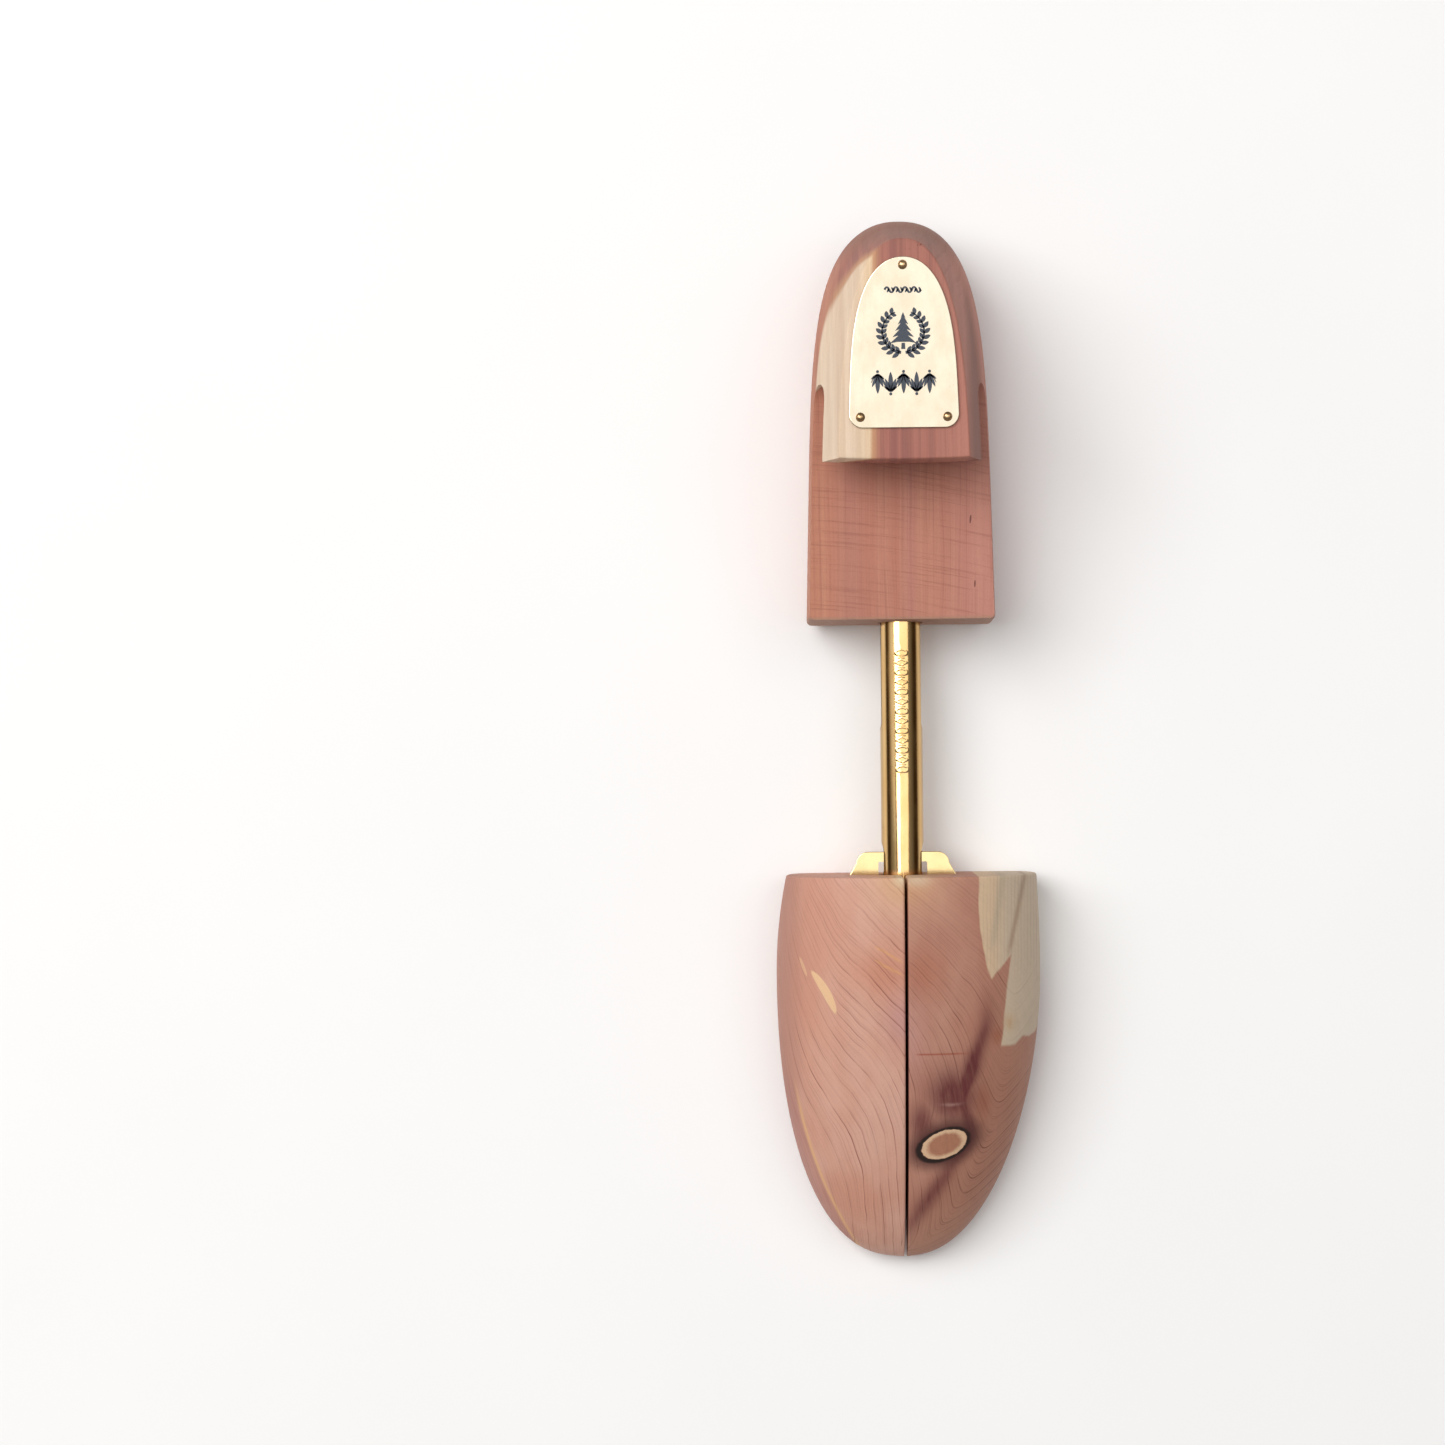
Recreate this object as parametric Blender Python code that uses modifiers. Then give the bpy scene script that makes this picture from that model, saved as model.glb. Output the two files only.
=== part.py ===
"""Split-toe cedar shoe tree with a sprung brass tube.

Metres, +Z up, heel towards +Y, toe towards -Y, standing on Z = 0.
Every shape is drawn about the tube's axis at X = 0, and the whole tree is then moved by AXIS_X, because one side
of the toe is fuller than the other and the origin stands at the middle of the whole width.
"""
import math

import bmesh
import bpy
from mathutils import Matrix, Vector

# ---- whole tree
AXIS_X = -0.0015
AXIS_Z = 0.018
GAP = 0.0003
OBJECT_NAME = "shoe_tree"

# ---- heel block
HEEL_FRONT = 0.0368
HEEL_REAR = 0.1545
HEEL_HALF = 0.0279
HEEL_TOP = 0.068
HEEL_TOP_HALF = 0.0200
HEEL_TOP_REAR = 0.1450
HEEL_TAPER = 0.105
FRONT_RAKE = 0.0014
GROOVE_LOW = 0.036
GROOVE_HIGH = 0.048
GROOVE_END = 0.1055
HANDLE_FRONT = 0.0825
HEEL_BORE_R = 0.00665
HEEL_BORE_END = 0.1030

# ---- nameplate and its nails
PLATE_THICK = 0.0006
PLATE_FRONT = 0.0907
PLATE_REAR = 0.1398
PLATE_HALF = 0.0158
PLATE_CORNER = 0.0040
NAIL_HEAD_R = 0.00135
NAIL_HEAD_H = 0.0010
NAIL_SHANK_R = 0.0006
NAIL_LENGTH = 0.0085
NAIL_REAR_Y = 0.1374
NAIL_SIDE = (0.0125, 0.0938)

# ---- tube
TUBE_R = 0.00635
TUBE_WALL = 0.0009
TUBE_REAR = 0.0583
TUBE_FRONT = -0.0425
SLOT_HALF = 0.0024
SLOT_REAR = 0.0526
SLOT_FRONT = 0.0043
WINDOW_HALF = 0.0030
WINDOW_REAR = -0.0293
WINDOW_FRONT = -0.0405

# ---- cross pin, spring and seats
CROSS_PIN_R = 0.0015
CROSS_PIN_Y = 0.0508
CROSS_PIN_END = 0.0200
SEAT_R = 0.00515
SEAT_THICK = 0.0012
SPRING_R = 0.0043
SPRING_WIRE = 0.0012
SPRING_TURNS = 15
STOP_REAR = -0.0200
STOP_THICK = 0.0020

# ---- toe plate and pivot pins
TOE_PLATE_THICK = 0.0016
TOE_PLATE_REAR = -0.0322
TOE_PLATE_FRONT = -0.0600
NOTCH_REAR = -0.0352
PIVOT_R = 0.0015
PIVOT_X = 0.0105
PIVOT_Y = -0.0500
PIVOT_BOTTOM = 0.0010
PIVOT_TOP = 0.0330
SLOT_ANGLE = math.radians(40.0)
SLOT_TRAVEL = 0.0060

# ---- toe halves
TOE_REAR = -0.0390
TOE_WIDEST = -0.0690
TOE_TIP = -0.1545
TOE_HALF_GAP = 0.00045
TOE_HEIGHT = 0.0460
TOE_TIP_Z = 0.0065
KERF_HALF = 0.0012
KERF_WIDTH = 0.0240
KERF_END = -0.0690
TUBE_RECESS_R = 0.0073
TUBE_RECESS_END = -0.0480
# side: widest half width, narrowing at the rear, and the two powers of the outline
TOE_LEFT = (0.0380, 0.085, 2.2, 2.50)
TOE_RIGHT = (0.0410, 0.022, 1.8, 2.15)


def clear_scene():
    """Remove what the start-up file holds."""
    for thing in list(bpy.data.objects):
        bpy.data.objects.remove(thing, do_unlink=True)


def collection(name):
    """A new collection, linked to the scene."""
    made = bpy.data.collections.new(name)
    bpy.context.scene.collection.children.link(made)
    return made


clear_scene()
PARTS = collection(OBJECT_NAME)
CUTTERS = collection("cutters")


def material(name, colour, roughness, metallic):
    """One Principled material."""
    made = bpy.data.materials.new(name)
    made.use_nodes = True
    shader = made.node_tree.nodes["Principled BSDF"]
    shader.inputs["Base Color"].default_value = (*colour, 1.0)
    shader.inputs["Roughness"].default_value = roughness
    shader.inputs["Metallic"].default_value = metallic
    return made


CEDAR = (0.52, 0.24, 0.16)
BRASS = (0.86, 0.62, 0.24)
PALE_BRASS = (0.86, 0.74, 0.50)
STEEL = (0.60, 0.60, 0.61)


def place(bm, name, where, cutter=False, finish=None):
    """Turn a bmesh drawn in tree coordinates into an object whose origin is at `where`."""
    bmesh.ops.remove_doubles(bm, verts=bm.verts, dist=1e-7)
    bmesh.ops.recalc_face_normals(bm, faces=bm.faces)
    bmesh.ops.translate(bm, verts=bm.verts, vec=-Vector(where))
    mesh = bpy.data.meshes.new(name)
    bm.to_mesh(mesh)
    bm.free()
    thing = bpy.data.objects.new(name, mesh)
    thing.location = where
    (CUTTERS if cutter else PARTS).objects.link(thing)
    if cutter:
        thing.hide_render = True
        thing.display_type = "WIRE"
    else:
        thing.data.materials.append(material(name, *finish))
    return thing


def cut(thing, cutter):
    """Take the cutter's volume out of the piece."""
    step = thing.modifiers.new("cut " + cutter.name, "BOOLEAN")
    step.operation = "DIFFERENCE"
    step.solver = "EXACT"
    step.object = cutter


def cylinder(bm, start, end, radius, segments=32, end_radius=None):
    """A capped round bar between two points."""
    start, end = Vector(start), Vector(end)
    along = end - start
    turn = Vector((0, 0, 1)).rotation_difference(along.normalized()).to_matrix().to_4x4()
    bmesh.ops.create_cone(
        bm,
        cap_ends=True,
        cap_tris=False,
        segments=segments,
        radius1=radius,
        radius2=radius if end_radius is None else end_radius,
        depth=along.length,
        matrix=Matrix.Translation((start + end) / 2) @ turn,
    )


def box(bm, low, high):
    """A box between two corners."""
    low, high = Vector(low), Vector(high)
    size = high - low
    bmesh.ops.create_cube(bm, size=1.0, matrix=Matrix.Translation((low + high) / 2) @ Matrix.Diagonal((*size, 1.0)))


def loft(bm, rings):
    """Skin a row of rings that have equally many points, and cap both ends."""
    rows = [[bm.verts.new(point) for point in ring] for ring in rings]
    count = len(rows[0])
    for low, high in zip(rows, rows[1:]):
        for i in range(count):
            j = (i + 1) % count
            bm.faces.new((low[i], low[j], high[j], high[i]))
    bm.faces.new(list(reversed(rows[0])))
    bm.faces.new(rows[-1])


def prism(bm, outline, low, high):
    """A flat outline in X and Y, raised from Z = low to Z = high."""
    loft(bm, [[(x, y, z) for x, y in outline] for z in (low, high)])


def cylinder_cutter(name, start, end, radius, segments=32):
    bm = bmesh.new()
    cylinder(bm, start, end, radius, segments)
    return place(bm, name, (0, 0, 0), cutter=True)


def box_cutter(name, low, high):
    bm = bmesh.new()
    box(bm, low, high)
    return place(bm, name, (0, 0, 0), cutter=True)


def prism_cutter(name, outline, low, high):
    bm = bmesh.new()
    prism(bm, outline, low, high)
    return place(bm, name, (0, 0, 0), cutter=True)


# ---------------------------------------------------------------- heel block
def heel_outline(z, inset, rise):
    """One level's outline: a straight front and a U that closes round the heel.

    `inset` shrinks the level all round. `rise` goes from 0 at the widest level to 1 at the handle's top.
    """
    half = HEEL_HALF + (HEEL_TOP_HALF - HEEL_HALF) * rise - inset
    rear = HEEL_REAR + (HEEL_TOP_REAR - HEEL_REAR) * rise - inset
    power = 6.4 - 1.8 * rise
    front = HEEL_FRONT - FRONT_RAKE * (1 - z / GROOVE_LOW) + inset * 0.35
    side = []
    steps = 26
    for i in range(steps + 1):
        t = math.sin(i / steps * math.pi / 2) ** 0.8
        wide = half * (1 - HEEL_TAPER * t) * max(0.0, 1 - t**power) ** 0.44
        side.append((wide, front + (rear - front) * t))
    left = [(-x, y) for x, y in reversed(side[:-1])]
    return side + left


def heel_block():
    """The one-piece heel: block, finger groove and overhanging handle."""
    levels = (
        (0.0, 0.0050, 0.0),
        (0.0012, 0.0026, 0.0),
        (0.0040, 0.0009, 0.0),
        (0.0100, 0.0, 0.0),
        (0.0280, 0.0, 0.0),
        (0.0340, 0.0, 0.05),
        (0.0400, 0.0, 0.19),
        (0.0460, 0.0, 0.40),
        (0.0520, 0.0, 0.57),
        (0.0600, 0.0, 0.77),
        (0.0674, 0.0, 0.98),
        (HEEL_TOP, 0.0005, 1.0),
    )
    bm = bmesh.new()
    loft(bm, [[(x, y, z) for x, y in heel_outline(z, inset, rise)] for z, inset, rise in levels])
    heel = place(bm, "heel_block", (0, 0, 0), finish=(CEDAR, 0.62, 0.0))
    bm = bmesh.new()
    reach = 0.05
    middle = (GROOVE_LOW + GROOVE_HIGH) / 2
    radius = (GROOVE_HIGH - GROOVE_LOW) / 2
    groove = [(HEEL_FRONT - 0.02, GROOVE_LOW)]
    for i in range(13):
        turn = -math.pi / 2 + math.pi * i / 12
        groove.append((GROOVE_END - radius + radius * math.cos(turn), middle + radius * math.sin(turn)))
    groove += [(HANDLE_FRONT, GROOVE_HIGH), (HANDLE_FRONT, HEEL_TOP + 0.01), (HEEL_FRONT - 0.02, HEEL_TOP + 0.01)]
    loft(bm, [[(x, y, z) for y, z in groove] for x in (-reach, reach)])
    cut(heel, place(bm, "groove_cutter", (0, 0, 0), cutter=True))
    bore = cylinder_cutter(
        "heel_bore_cutter", (0, HEEL_FRONT - 0.01, AXIS_Z), (0, HEEL_BORE_END, AXIS_Z), HEEL_BORE_R, 40
    )
    cut(heel, bore)
    pin = cylinder_cutter(
        "cross_pin_cutter",
        (-0.04, CROSS_PIN_Y, AXIS_Z),
        (CROSS_PIN_END + GAP, CROSS_PIN_Y, AXIS_Z),
        CROSS_PIN_R + GAP,
        20,
    )
    cut(heel, pin)
    for name, (x, y) in nail_places().items():
        hole = cylinder_cutter(
            name + "_hole_cutter", (x, y, HEEL_TOP - NAIL_LENGTH - GAP), (x, y, HEEL_TOP + 0.01),
            NAIL_SHANK_R + GAP, 12,
        )
        cut(heel, hole)
    return heel


# ---------------------------------------------------------------- nameplate
def nail_places():
    """Where each nail stands, in X and Y."""
    side_x, side_y = NAIL_SIDE
    return {
        "nameplate_nail_rear": (0.0, NAIL_REAR_Y),
        "nameplate_nail_left": (-side_x, side_y),
        "nameplate_nail_right": (side_x, side_y),
    }


def nameplate_outline():
    """Straight front edge with round corners, sides that draw in, and a round top."""
    side = []
    for i in range(7):
        turn = -math.pi / 2 + math.pi / 2 * i / 6
        x = PLATE_HALF - PLATE_CORNER + PLATE_CORNER * math.cos(turn)
        side.append((x, PLATE_FRONT + PLATE_CORNER + PLATE_CORNER * math.sin(turn)))
    start = PLATE_FRONT + PLATE_CORNER
    steps = 16
    for i in range(1, steps + 1):
        t = math.sin(i / steps * math.pi / 2)
        side.append((PLATE_HALF * (1 - 0.10 * t) * max(0.0, 1 - t**3.6) ** 0.47, start + (PLATE_REAR - start) * t))
    return side + [(-x, y) for x, y in reversed(side[:-1])]


def nameplate():
    """The thin brass plate, with a hole for each nail."""
    low = HEEL_TOP + GAP
    bm = bmesh.new()
    prism(bm, nameplate_outline(), low, low + PLATE_THICK)
    plate = place(bm, "nameplate", (0, (PLATE_FRONT + PLATE_REAR) / 2, low), finish=(PALE_BRASS, 0.3, 1.0))
    for name, (x, y) in nail_places().items():
        hole = cylinder_cutter(
            name + "_plate_cutter", (x, y, low - 0.01), (x, y, low + 0.01), NAIL_SHANK_R + GAP, 12
        )
        cut(plate, hole)
    return plate


def nail(name, x, y):
    """A round-headed nail: one outline turned about its own axis."""
    under = HEEL_TOP + GAP + PLATE_THICK + GAP
    outline = [(0.0, NAIL_HEAD_H)]
    for i in range(1, 7):
        turn = math.pi / 2 * i / 6
        outline.append((NAIL_HEAD_R * math.sin(turn), NAIL_HEAD_H * math.cos(turn)))
    outline += [(NAIL_SHANK_R, 0.0), (NAIL_SHANK_R, -NAIL_LENGTH + 0.0012), (0.0, -NAIL_LENGTH)]
    mesh = bpy.data.meshes.new(name)
    count = len(outline)
    mesh.from_pydata([(r, 0, z) for r, z in outline], [(i, i + 1) for i in range(count - 1)], [])
    thing = bpy.data.objects.new(name, mesh)
    thing.location = (x, y, under)
    PARTS.objects.link(thing)
    thing.data.materials.append(material(name, BRASS, 0.3, 1.0))
    turned = thing.modifiers.new("turned", "SCREW")
    turned.axis = "Z"
    turned.steps = 20
    turned.render_steps = 20
    turned.use_merge_vertices = True
    turned.merge_threshold = 0.000001
    return thing


# ---------------------------------------------------------------- tube and what is in it
def tube():
    """The sliding tube, with two long side slots and two end windows."""
    bm = bmesh.new()
    cylinder(bm, (0, TUBE_FRONT, AXIS_Z), (0, TUBE_REAR, AXIS_Z), TUBE_R, 40)
    pipe = place(bm, "tube", (0, 0, AXIS_Z), finish=(BRASS, 0.18, 1.0))
    inside = cylinder_cutter(
        "tube_inside_cutter", (0, TUBE_FRONT - 0.01, AXIS_Z), (0, TUBE_REAR + 0.01, AXIS_Z), TUBE_R - TUBE_WALL, 40
    )
    cut(pipe, inside)
    cut(pipe, side_channel("tube_slot_cutter", SLOT_FRONT, SLOT_REAR, SLOT_HALF))
    cut(pipe, side_channel("tube_window_cutter", WINDOW_FRONT, WINDOW_REAR, WINDOW_HALF))
    return pipe


def side_channel(name, front, rear, half):
    """A cutter that goes through both sides of the tube: straight edges and round ends."""
    outline = []
    for centre, start in ((rear - half, -math.pi / 2), (front + half, math.pi / 2)):
        for i in range(9):
            turn = start + math.pi * i / 8
            outline.append((centre + half * math.cos(turn), AXIS_Z + half * math.sin(turn)))
    bm = bmesh.new()
    loft(bm, [[(x, y, z) for y, z in outline] for x in (-0.01, 0.01)])
    return place(bm, name, (0, 0, 0), cutter=True)


def cross_pin():
    """The pin that holds the tube in the heel."""
    bm = bmesh.new()
    cylinder(bm, (-CROSS_PIN_END, CROSS_PIN_Y, AXIS_Z), (CROSS_PIN_END, CROSS_PIN_Y, AXIS_Z), CROSS_PIN_R, 20)
    return place(bm, "cross_pin", (0, CROSS_PIN_Y, AXIS_Z), finish=(STEEL, 0.3, 1.0))


def seat_front():
    """The spring's end of the washer that leans on the cross pin."""
    return CROSS_PIN_Y - CROSS_PIN_R - GAP - SEAT_THICK


def spring_seat():
    """The washer between pin and spring."""
    bm = bmesh.new()
    front = seat_front()
    cylinder(bm, (0, front, AXIS_Z), (0, front + SEAT_THICK, AXIS_Z), SEAT_R, 28)
    washer = place(bm, "spring_seat", (0, front, AXIS_Z), finish=(STEEL, 0.35, 1.0))
    hole = cylinder_cutter("seat_hole_cutter", (0, front - 0.01, AXIS_Z), (0, front + 0.01, AXIS_Z), 0.0015, 16)
    cut(washer, hole)
    return washer


def main_spring():
    """The compression spring: one wire wound round the tube's axis."""
    wire = SPRING_WIRE / 2
    start = STOP_REAR + GAP + wire
    end = seat_front() - GAP - wire
    per_turn = 14
    steps = SPRING_TURNS * per_turn
    curve = bpy.data.curves.new("main_spring", "CURVE")
    curve.dimensions = "3D"
    curve.bevel_depth = wire
    curve.bevel_resolution = 2
    curve.use_fill_caps = True
    line = curve.splines.new("POLY")
    line.points.add(steps)
    for i in range(steps + 1):
        turn = 2 * math.pi * i / per_turn
        along = start + (end - start) * i / steps - (start + end) / 2
        line.points[i].co = (SPRING_R * math.cos(turn), along, SPRING_R * math.sin(turn), 1.0)
    thing = bpy.data.objects.new("main_spring", curve)
    thing.location = (0, (start + end) / 2, AXIS_Z)
    PARTS.objects.link(thing)
    curve.materials.append(material("main_spring", STEEL, 0.3, 1.0))
    return thing


def spring_stop():
    """The disc in the tube that the spring pushes on."""
    bm = bmesh.new()
    cylinder(bm, (0, STOP_REAR - STOP_THICK, AXIS_Z), (0, STOP_REAR, AXIS_Z), SEAT_R, 28)
    return place(bm, "spring_stop", (0, STOP_REAR, AXIS_Z), finish=(STEEL, 0.35, 1.0))


# ---------------------------------------------------------------- toe plate and pins
def toe_plate():
    """The flat plate: wings, a notch each side for the tube's end ring, and two oblique slots."""
    side = []
    for i in range(7):
        turn = math.pi / 2 * (1 - i / 6)
        side.append((0.0102 + 0.0037 * math.cos(turn), TOE_PLATE_REAR - 0.0033 + 0.0033 * math.sin(turn)))
    side += [(0.0160, -0.0392), (0.0180, -0.0450), (0.0180, -0.0560), (0.0140, TOE_PLATE_FRONT)]
    left = [(-x, y) for x, y in reversed(side)]
    bm = bmesh.new()
    low = AXIS_Z - TOE_PLATE_THICK / 2
    prism(bm, side + left, low, low + TOE_PLATE_THICK)
    plate = place(bm, "toe_plate", (0, TOE_PLATE_REAR, AXIS_Z), finish=(BRASS, 0.25, 1.0))
    for sign, name in ((-1, "left"), (1, "right")):
        inner = TUBE_R - TUBE_WALL - GAP - 0.0003
        notch = box_cutter(
            "notch_cutter_" + name,
            (min(sign * inner, sign * 0.0073), TUBE_FRONT - GAP, AXIS_Z - 0.005),
            (max(sign * inner, sign * 0.0073), NOTCH_REAR, AXIS_Z + 0.005),
        )
        cut(plate, notch)
        cut(plate, prism_cutter("pin_slot_cutter_" + name, pin_slot(sign), AXIS_Z - 0.005, AXIS_Z + 0.005))
    return plate


def pin_slot(sign):
    """Outline of one oblique slot, a round-ended channel along the pin's way."""
    radius = PIVOT_R + GAP
    along = Vector((sign * math.sin(SLOT_ANGLE), math.cos(SLOT_ANGLE)))
    across = Vector((-along.y, along.x))
    start = Vector((sign * PIVOT_X, PIVOT_Y))
    end = start + along * SLOT_TRAVEL
    outline = []
    for centre, heading in ((end, 1), (start, -1)):
        for i in range(9):
            turn = -math.pi / 2 + math.pi * i / 8
            point = centre + heading * (along * radius * math.cos(turn) + across * radius * math.sin(turn))
            outline.append((point.x, point.y))
    return outline


def pivot_pin(name, sign):
    """The upright pin that one toe half turns on."""
    bm = bmesh.new()
    at = (sign * PIVOT_X, PIVOT_Y)
    cylinder(bm, (*at, PIVOT_BOTTOM), (*at, PIVOT_TOP), PIVOT_R, 20)
    return place(bm, name, (*at, AXIS_Z), finish=(BRASS, 0.3, 1.0))


# ---------------------------------------------------------------- toe halves
def toe_half_width(y, shape):
    """Half the toe's width at one station, for one side."""
    widest, narrowing, power, root = shape
    if y > TOE_WIDEST:
        s = (y - TOE_WIDEST) / (TOE_REAR - TOE_WIDEST)
        return widest * (1 - narrowing * s * s)
    t = (TOE_WIDEST - y) / (TOE_WIDEST - TOE_TIP)
    return max(0.0022, widest * max(0.0, 1 - t**power) ** (1 / root))


def toe_height(y):
    """Height of the toe's ridge at one station."""
    t = (TOE_REAR - y) / (TOE_REAR - TOE_TIP)
    return max(TOE_TIP_Z + 0.0015, TOE_TIP_Z + (TOE_HEIGHT - TOE_TIP_Z) * max(0.0, 1 - t**1.7) ** 0.55)


def toe_floor(y):
    """Height of the toe's underside: flat, then turned up at the tip."""
    t = (TOE_REAR - y) / (TOE_REAR - TOE_TIP)
    return (TOE_TIP_Z - 0.0015) * max(0.0, (t - 0.80) / 0.20) ** 2.4


def toe_ring(y, shape, sign, shrink=0.0):
    """One cross-section of a toe half, from the underside's inner corner round to the ridge."""
    wide = toe_half_width(y, shape) - shrink
    low = toe_floor(y) + shrink
    high = toe_height(y) - shrink
    inner = TOE_HALF_GAP + shrink
    side = low + 0.28 * (high - low)
    corner = min(0.007, 0.35 * (wide - inner))
    points = [(inner, low), (inner + 0.5 * (wide - corner - inner), low)]
    for i in range(6):
        turn = math.pi / 2 * i / 5
        points.append((wide - corner + corner * math.sin(turn), side - (side - low) * math.cos(turn)))
    for i in range(1, 17):
        turn = math.pi / 2 * i / 16
        x = inner + (wide - inner) * max(0.0, math.cos(turn)) ** (2 / 2.3)
        points.append((x, side + (high - side) * math.sin(turn) ** (2 / 2.3)))
    return [(sign * x, y, z) for x, z in points]


def toe_half(name, sign, shape):
    """One half of the toe, with its kerf, tube recess and pin bore."""
    stations = 30
    rings = [toe_ring(TOE_REAR, shape, sign, 0.0008), toe_ring(TOE_REAR - 0.0008, shape, sign)]
    for i in range(1, stations + 1):
        way = 1 - (1 - i / stations) ** 1.7
        rings.append(toe_ring(TOE_REAR - 0.0008 + (TOE_TIP - TOE_REAR + 0.0008) * way, shape, sign))
    bm = bmesh.new()
    loft(bm, rings)
    half = place(bm, name, (sign * PIVOT_X, PIVOT_Y, AXIS_Z), finish=(CEDAR, 0.62, 0.0))
    kerf = box_cutter(
        "kerf_cutter_" + name,
        (min(-sign * 0.01, sign * KERF_WIDTH), KERF_END, AXIS_Z - KERF_HALF),
        (max(-sign * 0.01, sign * KERF_WIDTH), TOE_REAR + 0.01, AXIS_Z + KERF_HALF),
    )
    cut(half, kerf)
    recess = cylinder_cutter(
        "recess_cutter_" + name, (0, TUBE_RECESS_END, AXIS_Z), (0, TOE_REAR + 0.01, AXIS_Z), TUBE_RECESS_R, 40
    )
    cut(half, recess)
    bore = cylinder_cutter(
        "pivot_bore_cutter_" + name,
        (sign * PIVOT_X, PIVOT_Y, -0.01),
        (sign * PIVOT_X, PIVOT_Y, PIVOT_TOP + GAP),
        PIVOT_R + GAP,
        20,
    )
    cut(half, bore)
    return half


def main():
    """Build every piece, then move the tree so that its whole width is centred."""
    heel_block()
    nameplate()
    for name, (x, y) in nail_places().items():
        nail(name, x, y)
    cross_pin()
    spring_seat()
    main_spring()
    tube()
    spring_stop()
    toe_plate()
    pivot_pin("pivot_pin_left", -1)
    pivot_pin("pivot_pin_right", 1)
    toe_half("toe_half_left", -1, TOE_LEFT)
    toe_half("toe_half_right", 1, TOE_RIGHT)
    for thing in (*PARTS.objects, *CUTTERS.objects):
        thing.location.x += AXIS_X


main()
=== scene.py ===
# %% [markdown]
# # A split-toe cedar shoe tree
# This lesson dresses a jointed model of a shoe tree: a heel block with an overhanging handle, a sprung brass tube,
# and a toe in two halves. All lengths are in metres, +Y points to the heel, +Z up, and the tree stands on Z = 0.

# %% Load the frame
import math

import bpy
import numpy as np
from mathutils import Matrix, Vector


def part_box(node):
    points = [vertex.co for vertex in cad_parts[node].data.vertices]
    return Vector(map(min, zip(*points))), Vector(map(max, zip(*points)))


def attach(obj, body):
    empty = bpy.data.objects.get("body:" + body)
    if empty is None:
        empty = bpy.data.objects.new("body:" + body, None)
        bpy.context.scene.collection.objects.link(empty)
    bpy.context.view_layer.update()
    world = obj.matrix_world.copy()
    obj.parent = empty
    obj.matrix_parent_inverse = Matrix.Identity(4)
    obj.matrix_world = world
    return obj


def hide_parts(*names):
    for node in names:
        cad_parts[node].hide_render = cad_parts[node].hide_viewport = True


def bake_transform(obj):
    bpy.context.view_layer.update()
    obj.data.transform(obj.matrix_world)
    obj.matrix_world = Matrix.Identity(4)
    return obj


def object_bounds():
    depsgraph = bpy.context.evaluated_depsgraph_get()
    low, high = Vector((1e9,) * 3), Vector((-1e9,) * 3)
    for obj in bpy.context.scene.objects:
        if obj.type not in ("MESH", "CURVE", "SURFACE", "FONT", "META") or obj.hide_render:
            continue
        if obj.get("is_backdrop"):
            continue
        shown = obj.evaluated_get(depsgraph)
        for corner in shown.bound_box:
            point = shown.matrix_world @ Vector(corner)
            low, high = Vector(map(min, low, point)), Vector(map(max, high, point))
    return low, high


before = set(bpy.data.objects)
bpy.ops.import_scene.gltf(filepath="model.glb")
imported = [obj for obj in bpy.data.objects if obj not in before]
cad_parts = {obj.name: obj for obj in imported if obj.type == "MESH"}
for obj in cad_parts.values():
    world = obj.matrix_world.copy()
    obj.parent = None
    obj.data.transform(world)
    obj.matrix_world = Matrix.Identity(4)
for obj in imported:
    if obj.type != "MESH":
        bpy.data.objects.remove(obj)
cad_box = [list(corner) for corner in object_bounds()]
scene = bpy.context.scene
MM = 0.001
print("box in mm:", [[round(v / MM, 1) for v in corner] for corner in cad_box])

# %% [markdown]
# ## Measures taken from the frame
# The tube's axis is the tree's centre line. Its X and Z, the toe's rear, tip and height, and the heel's top come from
# the boxes of the loaded nodes, so that the dressed pieces can't drift away from the moving ones.

# %% Read the main places
tube_low, tube_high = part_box("tube")
AXIS_X = (tube_low[0] + tube_high[0]) / 2
AXIS_Z = (tube_low[2] + tube_high[2]) / 2
TUBE_R = (tube_high[2] - tube_low[2]) / 2
toe_low, toe_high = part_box("toe_half_left")
HEEL_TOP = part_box("heel_block")[1][2]
TOE_REAR, TOE_TIP = toe_high[1], toe_low[1]
print("tube radius", round(TUBE_R / MM, 2), "mm, axis at X", round(AXIS_X / MM, 2), "Z", round(AXIS_Z / MM, 2))

# %% [markdown]
# ## Camera
# The tree is seen from straight above, with the heel at the top of the frame, from about 1.2 m. It stands to the
# right of the lens's axis, because it is the right-hand one of a pair, so a little more shows of its left side.

# %% Place the camera
CAMERA_HEIGHT = 1.218
FRAME_WIDTH = 0.4318
camera_data = bpy.data.cameras.new("camera")
camera_data.sensor_width = 36.0
camera_data.lens = 36.0 * (CAMERA_HEIGHT - AXIS_Z) / FRAME_WIDTH
camera = bpy.data.objects.new("camera", camera_data)
scene.collection.objects.link(camera)
camera_data.shift_x = -0.030
camera.location = (AXIS_X - 0.04045, 0.00675, CAMERA_HEIGHT)
camera.rotation_euler.z = math.radians(-0.6)
scene.camera = camera
print("lens", round(camera_data.lens, 1), "mm")

# %% [markdown]
# ## Light
# Brass shows what stands round it. A big softbox above and to the left makes the white stripe on the tube, a dimmer
# ceiling panel fills the top, and a weak panel stands low on the left. The rest of the room stays dark, which dims
# the tube's flanks; its dark bands and darker outer edges are painted reflection and shade in its colour.
# The wood takes most of its gentle light-left, dark-right modelling from the same lamps; the heel's right chamfer and
# front face also carry painted shade in their colour.

# %% Lamps, surroundings and floor
scene.view_settings.view_transform = "Standard"


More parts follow.
